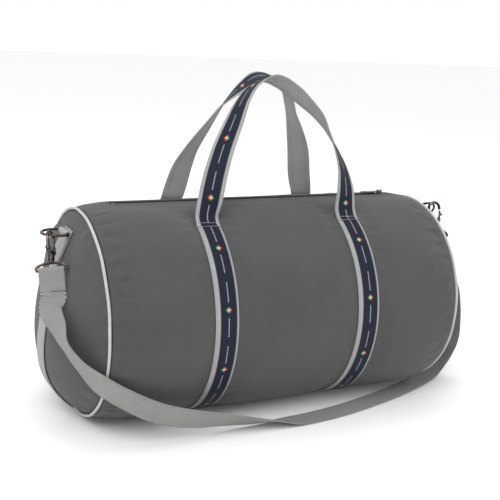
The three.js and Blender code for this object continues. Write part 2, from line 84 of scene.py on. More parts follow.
# ---- Shader groups ----------------------------------------------------------------------------------------
class Shader:
    """A small helper that adds and links nodes in one tree."""

    def __init__(self, tree: bpy.types.NodeTree) -> None:
        """Keeps the tree that the nodes go into."""
        self.tree = tree

    def node(self, kind: str, **values: object) -> bpy.types.Node:
        """Adds a node and sets its properties."""
        made = self.tree.nodes.new(kind)
        for key, value in values.items():
            setattr(made, key, value)
        return made

    def feed(self, socket: bpy.types.NodeSocket, value: object) -> None:
        """Links a socket to another one, or sets it to a plain value."""
        if isinstance(value, bpy.types.NodeSocket):
            self.tree.links.new(value, socket)
        else:
            socket.default_value = value

    def math(self, operation: str, *inputs: object) -> bpy.types.NodeSocket:
        """Returns the output of a Math node over one to three inputs."""
        made = self.node("ShaderNodeMath", operation=operation)
        for socket, value in zip(made.inputs, inputs):
            self.feed(socket, value)
        return made.outputs[0]

    def step(self, value: object, low: float, high: float) -> bpy.types.NodeSocket:
        """Returns a smooth rise from 0 at low to 1 at high."""
        made = self.node("ShaderNodeMapRange", interpolation_type="SMOOTHSTEP")
        self.feed(made.inputs["Value"], value)
        made.inputs["From Min"].default_value = low
        made.inputs["From Max"].default_value = high
        return made.outputs["Result"]

    def within(self, value: object, half: float, soft: float) -> bpy.types.NodeSocket:
        """Returns 1 where the value is nearer than half to 0, falling off over soft."""
        away = self.math("ABSOLUTE", value)
        return self.math("SUBTRACT", 1.0, self.step(away, half, half + soft))

    def blend(self, share: object, a: object, b: object) -> bpy.types.NodeSocket:
        """Returns colour a where share is 0 and b where it is 1."""
        made = self.node("ShaderNodeMix", data_type="RGBA")
        self.feed(made.inputs["Factor"], share)
        self.feed(made.inputs["A"], a)
        self.feed(made.inputs["B"], b)
        return made.outputs["Result"]

    def noise(self, where: object, scale: float, detail: float = 3.0) -> bpy.types.NodeSocket:
        """Returns a 0 to 1 noise."""
        made = self.node("ShaderNodeTexNoise")
        self.feed(made.inputs["Vector"], where)
        made.inputs["Scale"].default_value = scale
        made.inputs["Detail"].default_value = detail
        return made.outputs["Fac"]

    def bump(self, height: object, strength: float, distance: float) -> bpy.types.NodeSocket:
        """Returns the normal that a height in millimetres gives."""
        made = self.node("ShaderNodeBump")
        self.feed(made.inputs["Height"], height)
        made.inputs["Strength"].default_value = strength
        made.inputs["Distance"].default_value = distance
        return made.outputs["Normal"]

    def group(self, tree: bpy.types.NodeTree, **inputs: object) -> bpy.types.Node:
        """Places a node group and feeds its named inputs, with _ for a space."""
        made = self.node("ShaderNodeGroup")
        made.node_tree = tree
        for key, value in inputs.items():
            self.feed(made.inputs[key.replace("_", " ")], value)
        return made


class Groups:
    """The node groups that several finishes share, each built once."""

    def __init__(self) -> None:
        """Builds every group."""
        self.weave = self._weave()
        self.twill = self._twill()
        self.mottle = self._mottle()

    @staticmethod
    def _start(name: str, inputs: dict[str, float | None], outputs: dict[str, str]) -> tuple:
        """Makes a group with its sockets.

        Args:
            name: the group's name.
            inputs: socket name to default value, or None for a vector.
            outputs: socket name to socket type.

        Returns:
            The tree, its helper, its input node and its output node.
        """
        tree = bpy.data.node_groups.new(name, "ShaderNodeTree")
        for key, value in inputs.items():
            kind = "NodeSocketVector" if value is None else "NodeSocketFloat"
            socket = tree.interface.new_socket(key, in_out="INPUT", socket_type=kind)
            if value is not None:
                socket.default_value = value
        for key, kind in outputs.items():
            tree.interface.new_socket(key, in_out="OUTPUT", socket_type=kind)
        shader = Shader(tree)
        return tree, shader, shader.node("NodeGroupInput"), shader.node("NodeGroupOutput")

    def _weave(self) -> bpy.types.NodeTree:
        """Builds the plain weave: yarns over and under each other, with a mask of the gaps between them, where shade
        is painted.
        """
        tree, s, start, end = self._start(
            "plain_weave",
            {"Place": None, "Pitch": 1.0},
            {"Height": "NodeSocketFloat", "Gap": "NodeSocketFloat"},
        )
        split = s.node("ShaderNodeSeparateXYZ")
        s.feed(split.inputs[0], start.outputs["Place"])
        wobble = s.math("MULTIPLY", s.noise(start.outputs["Place"], 0.35, 2.0), 0.6)
        waves = []
        for axis in (0, 1):
            turned = s.math("DIVIDE", s.math("ADD", split.outputs[axis], wobble), start.outputs["Pitch"])
            waves.append(s.math("SINE", s.math("MULTIPLY", turned, math.pi)))
        over = s.step(s.math("MULTIPLY", waves[0], waves[1]), -0.25, 0.25)
        tops = [s.math("ABSOLUTE", wave) for wave in waves]
        warp = s.math("MULTIPLY", tops[0], over)
        weft = s.math("MULTIPLY", tops[1], s.math("SUBTRACT", 1.0, over))
        s.feed(end.inputs["Height"], s.math("ADD", warp, weft))
        # The gap mask marks where shade is painted into the colour.
        s.feed(end.inputs["Gap"], s.math("SUBTRACT", 1.0, s.step(s.math("MAXIMUM", *tops), 0.1, 0.55)))
        return tree

    def _twill(self) -> bpy.types.NodeTree:
        """Builds the herringbone twill of the webbing, with its corded selvedges and a mask of its low places, where
        shade is painted.
        """
        tree, s, start, end = self._start(
            "webbing_twill",
            {"Place": None, "Pitch": 1.7, "Half Width": 16.0},
            {"Height": "NodeSocketFloat", "Gap": "NodeSocketFloat"},
        )
        split = s.node("ShaderNodeSeparateXYZ")
        s.feed(split.inputs[0], start.outputs["Place"])
        across, along = split.outputs[0], split.outputs[1]
        chevron = s.math("PINGPONG", across, 2.7)
        slope = s.math("DIVIDE", s.math("ADD", along, chevron), start.outputs["Pitch"])
        rib = s.math("SINE", s.math("MULTIPLY", slope, 2 * math.pi))
        yarn = s.math("SINE", s.math("MULTIPLY", across, 2 * math.pi / 0.9))
        body = s.math("ADD", s.math("MULTIPLY", rib, 0.5), s.math("MULTIPLY", yarn, 0.22))
        edge = s.step(
            s.math("SUBTRACT", s.math("ABSOLUTE", across), s.math("SUBTRACT", start.outputs["Half Width"], 2.2)),
            -0.2,
            0.4,
        )
        tooth = s.math("SINE", s.math("MULTIPLY", s.math("DIVIDE", along, start.outputs["Pitch"]), 2 * math.pi))
        height = s.math(
            "ADD", s.math("MULTIPLY", body, s.math("SUBTRACT", 1.0, edge)), s.math("MULTIPLY", tooth, s.math("MULTIPLY", edge, 0.8))
        )
        s.feed(end.inputs["Height"], height)
        # Painted shade mask: the twill's low places.
        s.feed(end.inputs["Gap"], s.math("SUBTRACT", 1.0, s.step(height, -0.75, -0.1)))
        return tree

    def _mottle(self) -> bpy.types.NodeTree:
        """Builds the uneven shade of dyed cloth: broad clouds, streaks and flecks, from -1 to 1."""
        tree, s, start, end = self._start(
            "cloth_mottle", {"Place": None, "Amount": 1.0}, {"Shade": "NodeSocketFloat", "Fleck": "NodeSocketFloat"}
        )
        place = start.outputs["Place"]
        clouds = s.math("SUBTRACT", s.noise(place, 0.012, 4.0), 0.5)
        patches = s.math("SUBTRACT", s.noise(place, 0.09, 3.0), 0.5)
        fine = s.math("SUBTRACT", s.noise(place, 0.7, 2.0), 0.5)
        total = s.math("ADD", clouds, s.math("ADD", s.math("MULTIPLY", patches, 0.7), s.math("MULTIPLY", fine, 0.9)))
        s.feed(end.inputs["Shade"], s.math("MULTIPLY", total, start.outputs["Amount"]))
        s.feed(end.inputs["Fleck"], s.step(s.noise(place, 1.1, 1.0), 0.68, 0.76))
        return tree


# ---- Finishes ---------------------------------------------------------------------------------------------
@dataclass(frozen=True)
class Finish:
    """A material of the bag. Cloth reads its UV map in metres, and the rest reads object coordinates."""

    name: str
    slot: str
    colour: tuple[float, float, float]
    roughness: float
    on_uv: bool = True

    def material(self, groups: Groups) -> bpy.types.Material:
        """Returns the material, built on first use.

        Args:
            groups: the shared node groups.

        Returns:
            The material.
        """
        found = bpy.data.materials.get(self.name)
        if found:
            return found
        made = bpy.data.materials.new(self.name)
        made.use_nodes = True
        tree = made.node_tree
        tree.nodes.clear()
        s = Shader(tree)
        skin = s.node("ShaderNodeBsdfPrincipled")
        end = s.node("ShaderNodeOutputMaterial")
        tree.links.new(skin.outputs[0], end.inputs["Surface"])
        if self.on_uv:
            source = s.node("ShaderNodeUVMap", uv_map="UVMap").outputs["UV"]
        else:
            source = s.node("ShaderNodeTexCoord").outputs["Object"]
        scaled = s.node("ShaderNodeMapping")
        scaled.inputs["Scale"].default_value = (1000.0, 1000.0, 1000.0)
        tree.links.new(source, scaled.inputs["Vector"])
        skin.inputs["Roughness"].default_value = self.roughness
        self.dress(s, skin, scaled.outputs["Vector"], groups)
        made.diffuse_color = (*self.colour, 1.0)
        return made

    def rgba(self, scale: float = 1.0) -> tuple[float, float, float, float]:
        """Returns the finish's colour, lighter or darker, as RGBA."""
        return (*(min(1.0, c * scale) for c in self.colour), 1.0)

    def dress(self, s: Shader, skin: bpy.types.Node, place: bpy.types.NodeSocket, groups: Groups) -> None:
        """Adds this finish's own nodes."""
        raise NotImplementedError


@dataclass(frozen=True)
class Canvas(Finish):
    """Dyed cotton canvas in plain weave."""

    pitch: float = 1.15
    relief: float = 0.28

    def dress(self, s: Shader, skin: bpy.types.Node, place: bpy.types.NodeSocket, groups: Groups) -> None:
        """Adds the weave, the uneven dye, painted shade in the gaps of the weave, and a dry fibre sheen."""
        weave = s.group(groups.weave, Place=place, Pitch=self.pitch)
        mottle = s.group(groups.mottle, Place=place, Amount=0.8)
        shade = s.step(mottle.outputs["Shade"], -0.6, 0.6)
        colour = s.blend(shade, self.rgba(0.8), self.rgba(1.2))
        colour = s.blend(s.math("MULTIPLY", mottle.outputs["Fleck"], 0.25), colour, self.rgba(1.7))
        # Painted shade: the gaps between the yarns are darkened in the colour.
        colour = s.blend(s.math("MULTIPLY", weave.outputs["Gap"], 0.7), colour, self.rgba(0.35))
        s.feed(skin.inputs["Base Color"], colour)
        s.feed(skin.inputs["Roughness"], s.math("ADD", s.math("MULTIPLY", shade, 0.08), self.roughness - 0.04))
        s.feed(skin.inputs["Normal"], s.bump(weave.outputs["Height"], 0.6, self.relief * MM))
        skin.inputs["Sheen Weight"].default_value = 0.12
        skin.inputs["Sheen Roughness"].default_value = 0.6
        skin.inputs["Specular IOR Level"].default_value = 0.25


@dataclass(frozen=True)
class Webbing(Finish):
    """Thick cotton webbing in herringbone twill."""

    half_width: float = 16.0
    pitch: float = 2.7

    def dress(self, s: Shader, skin: bpy.types.Node, place: bpy.types.NodeSocket, groups: Groups) -> None:
        """Adds the twill, the selvedges, the mottled yarn, and painted shade in the twill's low places."""
        twill = s.group(groups.twill, Place=place, Pitch=self.pitch, Half_Width=self.half_width)
        mottle = s.group(groups.mottle, Place=place, Amount=1.0)
        shade = s.step(mottle.outputs["Shade"], -0.7, 0.7)
        colour = s.blend(shade, self.rgba(0.78), self.rgba(1.18))
        # Painted shade: the twill's low places are darkened in the colour.
        colour = s.blend(s.math("MULTIPLY", twill.outputs["Gap"], 0.9), colour, self.rgba(0.32))
        s.feed(skin.inputs["Base Color"], colour)
        s.feed(skin.inputs["Normal"], s.bump(twill.outputs["Height"], 0.9, 0.6 * MM))
        skin.inputs["Sheen Weight"].default_value = 0.15
        skin.inputs["Sheen Roughness"].default_value = 0.5
        skin.inputs["Specular IOR Level"].default_value = 0.25


@dataclass(frozen=True)
class WovenRibbon(Finish):
    """Satin ribbon with a woven repeat of a small two-tone lozenge and a row of pale dashes."""

    repeat: float = 81.0
    pale: tuple[float, float, float] = (0.5, 0.52, 0.56)
    red: tuple[float, float, float] = (0.55, 0.06, 0.05)
    green: tuple[float, float, float] = (0.05, 0.33, 0.07)

    def dress(self, s: Shader, skin: bpy.types.Node, place: bpy.types.NodeSocket, groups: Groups) -> None:
        """Adds the satin face, its fine weft and the woven repeat."""
        split = s.node("ShaderNodeSeparateXYZ")
        s.feed(split.inputs[0], place)
        across, along = split.outputs[0], split.outputs[1]
        spot = s.math("SUBTRACT", s.math("WRAP", along, self.repeat, 0.0), self.repeat / 2)
        mottle = s.group(groups.mottle, Place=place, Amount=1.0)
        shade = s.step(mottle.outputs["Shade"], -0.7, 0.7)
        colour = s.blend(shade, self.rgba(0.7), self.rgba(1.35))

        away = s.math(
            "ADD",
            s.math("ABSOLUTE", s.math("DIVIDE", spot, 4.2)),
            s.math("ABSOLUTE", s.math("DIVIDE", across, 4.6)),
        )
        lozenge = s.math("SUBTRACT", 1.0, s.step(away, 0.92, 1.0))
        core = s.math("SUBTRACT", 1.0, s.step(away, 0.36, 0.44))
        half = s.step(across, -0.3, 0.3)
        colour = s.blend(lozenge, colour, s.blend(half, (*self.red, 1.0), (*self.green, 1.0)))
        colour = s.blend(core, colour, (*self.pale, 1.0))

        beat = s.math("WRAP", along, 2.4, 0.0)
        dash = s.math("MULTIPLY", s.step(beat, 0.3, 0.5), s.math("SUBTRACT", 1.0, s.step(beat, 1.6, 1.8)))
        run = s.math(
            "MULTIPLY",
            s.step(s.math("ABSOLUTE", spot), 9.5, 9.7),
            s.math("SUBTRACT", 1.0, s.step(s.math("ABSOLUTE", spot), 34.5, 34.7)),
        )
        line = s.math("MULTIPLY", s.math("MULTIPLY", dash, run), s.within(across, 0.6, 0.2))
        colour = s.blend(s.math("MULTIPLY", line, 0.85), colour, (*self.pale, 1.0))
        s.feed(skin.inputs["Base Color"], colour)

        weft = s.math("SINE", s.math("MULTIPLY", along, 2 * math.pi / 0.55))
        warp = s.math("SINE", s.math("MULTIPLY", across, 2 * math.pi / 0.4))
        thick = s.math(
            "ADD",
            s.math("MULTIPLY", s.math("ADD", weft, warp), 0.2),
            s.math("MULTIPLY", s.math("ADD", line, lozenge), 0.8),
        )
        s.feed(skin.inputs["Normal"], s.bump(thick, 0.5, 0.16 * MM))
        s.feed(skin.inputs["Roughness"], s.math("ADD", self.roughness, s.math("MULTIPLY", line, 0.2)))
        skin.inputs["Sheen Weight"].default_value = 0.03
        skin.inputs["Specular IOR Level"].default_value = 0.15


@dataclass(frozen=True)
class Thread(Finish):
    """Twisted sewing thread, and the moulded nylon of the zip's teeth."""

    twist: float = 0.5

    def dress(self, s: Shader, skin: bpy.types.Node, place: bpy.types.NodeSocket, groups: Groups) -> None:
        """Adds the ply of the twist, a little uneven dye, and painted shade in the grooves of the ply."""
        split = s.node("ShaderNodeSeparateXYZ")
        s.feed(split.inputs[0], place)
        slope = s.math("ADD", split.outputs[0], s.math("ADD", split.outputs[1], split.outputs[2]))
        ply = s.math("SINE", s.math("MULTIPLY", slope, 2 * math.pi / self.twist))
        # The colour is uneven dye plus painted shade that darkens the grooves of the ply.
        shade = s.step(s.math("ADD", s.noise(place, 0.8, 2.0), s.math("MULTIPLY", ply, 0.12)), 0.3, 0.7)
        s.feed(skin.inputs["Base Color"], s.blend(shade, self.rgba(0.7), self.rgba(1.15)))
        s.feed(skin.inputs["Normal"], s.bump(ply, 0.4, 0.05 * MM))


@dataclass(frozen=True)
class Plated(Finish):
    """Plated metal that has worn a little brighter and duller in patches."""

    worn: tuple[float, float, float] = (0.3, 0.23, 0.17)

    def dress(self, s: Shader, skin: bpy.types.Node, place: bpy.types.NodeSocket, groups: Groups) -> None:
        """Adds the patina, hairline scratches and handling marks."""
        cloud = s.noise(place, 0.16, 4.0)
        grain = s.noise(place, 2.4, 3.0)
        stretch = s.node("ShaderNodeMapping")
        stretch.inputs["Scale"].default_value = (0.5, 0.5, 6.0)
        s.feed(stretch.inputs["Vector"], place)
        scratch = s.step(s.noise(stretch.outputs["Vector"], 1.0, 2.0), 0.62, 0.72)
        worn = s.math("MULTIPLY", s.step(cloud, 0.5, 0.68), 0.55)
        s.feed(skin.inputs["Base Color"], s.blend(worn, self.rgba(), (*self.worn, 1.0)))
        rough = s.math("ADD", self.roughness, s.math("MULTIPLY", s.step(cloud, 0.35, 0.7), 0.14))
        s.feed(skin.inputs["Roughness"], s.math("ADD", rough, s.math("MULTIPLY", scratch, 0.12)))
        height = s.math("ADD", s.math("MULTIPLY", grain, 0.4), s.math("MULTIPLY", scratch, -0.3))
        s.feed(skin.inputs["Normal"], s.bump(height, 0.25, 0.06 * MM))
        skin.inputs["Metallic"].default_value = 1.0


CANVAS = Canvas("charcoal_canvas", "canvas", (0.062, 0.062, 0.0635), 0.88)
BINDING = Canvas("dark_binding_tape", "tape", (0.04, 0.04, 0.043), 0.85, pitch=0.8, relief=0.15)
PIPING = Canvas("pale_piping_cloth", "piping", (0.44, 0.445, 0.445), 0.8, pitch=0.7, relief=0.14)
WEBBING = Webbing("grey_webbing", "webbing", (0.42, 0.42, 0.415), 0.86)
ZIP_TAPE = Webbing("dark_zip_tape", "tape", (0.055, 0.055, 0.058), 0.82, half_width=7.2, pitch=1.1)
RIBBON = WovenRibbon("navy_ribbon", "ribbon", (0.008, 0.011, 0.024), 0.56)
GREY_THREAD = Thread("grey_thread", "webbing", (0.3, 0.3, 0.296), 0.6, on_uv=False)
DARK_THREAD = Thread("charcoal_thread", "canvas", (0.05, 0.05, 0.052), 0.6, on_uv=False)
NAVY_THREAD = Thread("navy_thread", "ribbon", (0.02, 0.025, 0.045), 0.55, on_uv=False)
TEETH = Thread("nylon_teeth", "coil", (0.035, 0.035, 0.038), 0.38, on_uv=False, twist=2.0)
NICKEL = Plated("dark_nickel", "metal", (0.06, 0.053, 0.048), 0.13, on_uv=False)
SPRING = Plated("spring_wire", "spring", (0.42, 0.41, 0.39), 0.28, on_uv=False, worn=(0.6, 0.58, 0.55))


# ---- Mesh helpers -----------------------------------------------------------------------------------------
class Workshop:
    """Makes meshes and hands each finished piece to the frame."""

    def __init__(self, frame: dict, groups: Groups) -> None:
        """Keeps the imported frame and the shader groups."""
        self.nodes: dict = frame["nodes"]
        self.groups = groups
        self.count = 0

    def mesh(self, name: str, points: Array, faces: list, uvs: Array | None = None) -> bpy.types.Object:
        """Makes an object from points in metres.

        Args:
            name: the object's name.
            points: one row for each vertex.
            faces: vertex indices of each face.
            uvs: one row for each face corner, in the faces' order.

        Returns:
            The object, at the origin.
        """
        data = bpy.data.meshes.new(name)
        data.from_pydata([tuple(p) for p in points], [], [tuple(f) for f in faces])
        if uvs is not None:
            layer = data.uv_layers.new(name="UVMap")
            layer.data.foreach_set("uv", np.asarray(uvs, np.float32).ravel())
        data.validate()
        data.shade_smooth()
        made = bpy.data.objects.new(name, data)
        bpy.context.scene.collection.objects.link(made)
        return made

    def grid(
        self, name: str, points: Array, uvs: Array, wrap: bool = False, keep: Array | None = None
    ) -> bpy.types.Object:
        """Makes a sheet from a grid of points.

        Args:
            name: the object's name.
            points: rows by columns by 3. With wrap, the last column repeats the first.
            uvs: rows by columns by 2.
            wrap: whether the columns close on themselves.
            keep: which cells to keep.

        Returns:
            The object.
        """
        rows, cols = points.shape[:2]
        real = cols - 1 if wrap else cols
        faces, corners = [], []
        for i in range(rows - 1):
            for j in range(cols - 1):
                if keep is not None and not keep[i, j]:
                    continue
                loop = [(i, j), (i + 1, j), (i + 1, j + 1), (i, j + 1)]
                faces.append([a * real + (b % real) for a, b in loop])
                corners.extend(uvs[a, b] for a, b in loop)
        made = self.mesh(name, points[:, :real].reshape(-1, 3), faces, np.array(corners))
        tidy = bmesh.new()
        tidy.from_mesh(made.data)
        bmesh.ops.delete(tidy, geom=[v for v in tidy.verts if not v.link_faces], context="VERTS")
        tidy.to_mesh(made.data)
        tidy.free()
        return made

    def wall(self, made: bpy.types.Object, thickness: float) -> bpy.types.Object:
        """Gives a sheet its thickness, inwards from its face."""
        solid = made.modifiers.new("wall", "SOLIDIFY")
        solid.thickness = thickness
        solid.offset = -1.0
        return self.applied(made)

    @staticmethod
    def applied(made: bpy.types.Object) -> bpy.types.Object:
        """Turns an object's modifiers into plain mesh."""
        graph = bpy.context.evaluated_depsgraph_get()
        data = bpy.data.meshes.new_from_object(made.evaluated_get(graph), depsgraph=graph)
        made.modifiers.clear()
        old = made.data
        made.data = data
        bpy.data.meshes.remove(old)
        data.name = made.name
        data.shade_smooth()
        return made

    def strip(
        self, name: str, route: "Route", width: float, thickness: float, rise: float = 0.0
    ) -> bpy.types.Object:
        """Makes a flat strap with rounded edges along a route.

        Args:
            name: the object's name.
            route: where it goes.
            width: its width.
            thickness: its thickness.
            rise: how far its middle lies off the route, along its face.

        Returns:
            The closed object, with its UV map in metres: across, then along.
        """
        half, edge = width / 2, thickness / 2
        top = [(-half + 0.15 * thickness, 0.7 * edge), (-half + 0.6 * thickness, edge)]
        top += [(w * half, edge) for w in (-0.82, -0.5, 0.0, 0.5, 0.82)]
        top += [(-w, f) for w, f in reversed(top[:2])]
        ring = [(-half, 0.0)] + top + [(half, 0.0)] + [(w, -f) for w, f in reversed(top)]
        centre = route.points + route.face * rise
        grid = np.stack([centre + route.across * w + route.face * f for w, f in ring], 1)
        n, k = grid.shape[:2]
        faces, corners = [], []
        for i in range(n - 1):
            for j in range(k):
                loop = [(i, j), (i, (j + 1) % k), (i + 1, (j + 1) % k), (i + 1, j)]
                faces.append([a * k + b for a, b in loop])
                corners.extend((ring[b][0], route.along[a]) for a, b in loop)
        for i, order in ((0, range(k - 1, -1, -1)), (n - 1, range(k))):
            faces.append([i * k + b for b in order])
            corners.extend((ring[b][0], route.along[i] + ring[b][1]) for b in order)
        made = self.mesh(name, grid.reshape(-1, 3), faces, np.array(corners))
        return self.outward(made)

    @staticmethod
    def outward(made: bpy.types.Object) -> bpy.types.Object:
        """Turns a closed shell's faces outwards."""
        shell = bmesh.new()
        shell.from_mesh(made.data)
        bmesh.ops.recalc_face_normals(shell, faces=shell.faces)
        if shell.calc_volume(signed=True) < 0:
            bmesh.ops.reverse_faces(shell, faces=shell.faces)
        shell.to_mesh(made.data)
        shell.free()
        return made

    def tube(
        self, name: str, points: Array, radius: float, sides: int = 14, closed: bool = True
    ) -> bpy.types.Object:
        """Makes a round wire or cord along points, with its UV map in metres."""
        n = len(points)
        ahead = np.roll(points, -1, 0) - np.roll(points, 1, 0)
        if not closed:
            ahead[0], ahead[-1] = points[1] - points[0], points[-1] - points[-2]
        ahead /= np.linalg.norm(ahead, axis=1)[:, None]
        axis = np.linalg.svd(points - points.mean(0))[2][2]
        side = np.cross(ahead, axis)
        side /= np.linalg.norm(side, axis=1)[:, None]
        other = np.cross(ahead, side)
        turn = np.linspace(0, 2 * math.pi, sides, endpoint=False)
        round_it = np.cos(turn)[None, :, None] * side[:, None] + np.sin(turn)[None, :, None] * other[:, None]
        grid = points[:, None] + radius * round_it
        run = np.concatenate([[0], np.cumsum(np.linalg.norm(np.diff(points, axis=0), axis=1))])
        run = np.append(run, run[-1] + np.linalg.norm(points[0] - points[-1]))
        faces, corners = [], []
        for i in range(n if closed else n - 1):
            for j in range(sides):
                loop = [(i, j), (i + 1, j), (i + 1, j + 1), (i, j + 1)]
                faces.append([(a % n) * sides + b % sides for a, b in loop])
                corners.extend((radius * b * 2 * math.pi / sides, run[a]) for a, b in loop)
        return self.outward(self.mesh(name, grid.reshape(-1, 3), faces, np.array(corners)))

    def copied(self, name: str, node: str, voxel: float, rounds: int) -> bpy.types.Object:
        """Makes a cast piece from a CAD node, with its hard edges rounded as by a mould.

        Args:
            name: the new piece's name.
            node: the CAD node.
            voxel: how finely the form is taken.
            rounds: how much its edges are rounded.

        Returns:
            The closed object.
        """
        source = self.nodes[node]
        data = source.data.copy()
        made = bpy.data.objects.new(name, data)
        data.name = name
        data.materials.clear()
        bpy.context.scene.collection.objects.link(made)
        shell = bmesh.new()
        shell.from_mesh(data)
        bmesh.ops.remove_doubles(shell, verts=shell.verts, dist=1e-6)
        shell.to_mesh(data)
        shell.free()
        remesh = made.modifiers.new("cast", "REMESH")
        remesh.mode = "VOXEL"
        remesh.voxel_size = voxel
        smooth = made.modifiers.new("rounding", "SMOOTH")
        smooth.factor = 0.5
        smooth.iterations = rounds
        return self.applied(made)

    def finish(self, made: bpy.types.Object, finish: Finish, body: str | None, *nodes: str) -> bpy.types.Object:
        """Dresses a piece, hides the CAD nodes that it replaces, and lets it ride on its body.

        Args:
            made: the piece.
            finish: its finish.
            body: the CAD body that it rides on, or None where it spans two and is left unattached.
            nodes: the CAD nodes that it replaces.

        Returns:
            The piece.
        """
        made.data.materials.clear()
        made.data.materials.append(finish.material(self.groups))
        if nodes:
            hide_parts(*nodes)
        if body:
            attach(made, body)
        self.count += 1
        LOG.info("%s: %d faces, %s", made.name, len(made.data.polygons), finish.name)
        return made


def spline(keys: Array, count: int) -> tuple[Array, Array]:
    """Runs a centripetal Catmull-Rom curve through points.

    Args:
        keys: the points.
        count: how many samples to take, evenly in the key number.

    Returns:
        The samples and their unit tangents.
    """
    places, tangents = [], []
    last = len(keys) - 1
    for t in np.linspace(0, last, count):
        i = min(int(t), last - 1)
        w = t - i
        p1, p2 = keys[i], keys[i + 1]
        p0 = keys[i - 1] if i > 0 else 2 * p1 - p2
        p3 = keys[i + 2] if i + 2 <= last else 2 * p2 - p1
        gaps = [max(np.linalg.norm(b - a) ** 0.5, 1e-6) for a, b in ((p0, p1), (p1, p2), (p2, p3))]
        m1 = ((p1 - p0) / gaps[0] - (p2 - p0) / (gaps[0] + gaps[1]) + (p2 - p1) / gaps[1]) * gaps[1]
        m2 = ((p2 - p1) / gaps[1] - (p3 - p1) / (gaps[1] + gaps[2]) + (p3 - p2) / gaps[2]) * gaps[1]
        a = 2 * p1 - 2 * p2 + m1 + m2
        b = -3 * p1 + 3 * p2 - 2 * m1 - m2
        places.append(((a * w + b) * w + m1) * w + p1)
        tangents.append((3 * a * w + 2 * b) * w + m1)
    tangents = np.array(tangents)
    return np.array(places), tangents / np.linalg.norm(tangents, axis=1)[:, None]


@dataclass
class Route:
    """A strap's path: its middle line, the way across it, the way it faces, and the distance along it."""

    points: Array
    across: Array
    face: Array
    along: Array

    @classmethod
    def through(cls, stations: list[tuple[float, ...]], count: int) -> "Route":
        """Makes a route from stations of a place in millimetres and a direction across."""
        keys = np.array(stations, float)
        points, travel = spline(keys[:, :3], count)
        wide = keys[:, 3:] / np.linalg.norm(keys[:, 3:], axis=1)[:, None]
        across = spline(wide, count)[0]
        return cls.along_line(points * MM, across, travel)

    @classmethod
    def along_line(cls, points: Array, across: Array, travel: Array | None = None) -> "Route":
        """Makes a route from points in metres and directions across them."""
        if travel is None:
            travel = np.gradient(points, axis=0)
            travel /= np.linalg.norm(travel, axis=1)[:, None]
        across = across - travel * np.sum(across * travel, 1)[:, None]
        across /= np.linalg.norm(across, axis=1)[:, None]
        run = np.concatenate([[0], np.cumsum(np.linalg.norm(np.diff(points, axis=0), axis=1))])
        return cls(points, across, np.cross(across, travel), run)

    def part(self, start: int, stop: int) -> "Route":
        """Returns the route from one sample to another."""
        return Route(self.points[start:stop], self.across[start:stop], self.face[start:stop], self.along[start:stop])

    def line(self, side: float, rise: float) -> Array:
        """Returns a line that runs along the route, off to the side and above its face."""
        return self.points + self.across * side + self.face * rise


# ---- Stitches ---------------------------------------------------------------------------------------------
class Repeater:
    """A Geometry Nodes tree that sets small rounded pieces along lines: stitches, or a zip's teeth."""

    def __init__(self) -> None:
        """Builds the tree with its named inputs."""
        tree = bpy.data.node_groups.new("set_along_lines", "GeometryNodeTree")
        self.tree = tree
        new = tree.interface.new_socket
        new("Geometry", in_out="INPUT", socket_type="NodeSocketGeometry")
        self.keys: dict[str, str] = {}
        for name, kind in (
            ("Pitch", "NodeSocketFloat"),
            ("Size", "NodeSocketVector"),
            ("Material", "NodeSocketMaterial"),
        ):
            self.keys[name] = new(name, in_out="INPUT", socket_type=kind).identifier
        new("Geometry", in_out="OUTPUT", socket_type="NodeSocketGeometry")
        nodes, link = tree.nodes, tree.links.new
        start, end = nodes.new("NodeGroupInput"), nodes.new("NodeGroupOutput")
        curve = nodes.new("GeometryNodeMeshToCurve")
        spaced = nodes.new("GeometryNodeResampleCurve")
        spaced.mode = "LENGTH"
        tangent = nodes.new("GeometryNodeInputTangent")
        align = nodes.new("FunctionNodeAlignRotationToVector")
        align.axis = "X"
        ball = nodes.new("GeometryNodeMeshUVSphere")
        ball.inputs["Segments"].default_value = 8
        ball.inputs["Rings"].default_value = 5
        ball.inputs["Radius"].default_value = 0.5
        placed = nodes.new("GeometryNodeInstanceOnPoints")
        real = nodes.new("GeometryNodeRealizeInstances")
        smooth = nodes.new("GeometryNodeSetShadeSmooth")
        paint = nodes.new("GeometryNodeSetMaterial")
        link(start.outputs["Geometry"], curve.inputs["Mesh"])
        link(curve.outputs["Curve"], spaced.inputs["Curve"])
        link(start.outputs["Pitch"], spaced.inputs["Length"])
        link(spaced.outputs["Curve"], placed.inputs["Points"])
        link(tangent.outputs["Tangent"], align.inputs["Vector"])
        link(align.outputs["Rotation"], placed.inputs["Rotation"])
        link(ball.outputs["Mesh"], placed.inputs["Instance"])
        link(start.outputs["Size"], placed.inputs["Scale"])
        link(placed.outputs["Instances"], real.inputs["Geometry"])
        link(real.outputs["Geometry"], smooth.inputs["Geometry"])
        link(smooth.outputs["Geometry"], paint.inputs["Geometry"])
        link(start.outputs["Material"], paint.inputs["Material"])
        link(paint.outputs["Geometry"], end.inputs["Geometry"])

    def along(
        self, shop: Workshop, name: str, lines: list[Array], pitch: float,
        size: tuple[float, float, float], finish: Finish,
    ) -> bpy.types.Object:
        """Sets pieces along lines and returns them as one plain mesh.

        Args:
            shop: the workshop.
            name: the piece's name.
            lines: the lines, in metres.
            pitch: from one to the next.
            size: length along the line, and the two widths.
            finish: what they are made of.

        Returns:
            The object.
        """
        points, edges = [], []
        for line in lines:
            first = len(points)
            points.extend(tuple(p) for p in line)
            edges.extend((first + i, first + i + 1) for i in range(len(line) - 1))
        data = bpy.data.meshes.new(name)
        data.from_pydata(points, edges, [])
        made = bpy.data.objects.new(name, data)
        bpy.context.scene.collection.objects.link(made)
        modifier = made.modifiers.new("repeat", "NODES")
        modifier.node_group = self.tree
        modifier[self.keys["Pitch"]] = pitch
        modifier[self.keys["Size"]] = size
        modifier[self.keys["Material"]] = finish.material(shop.groups)
        return shop.applied(made)


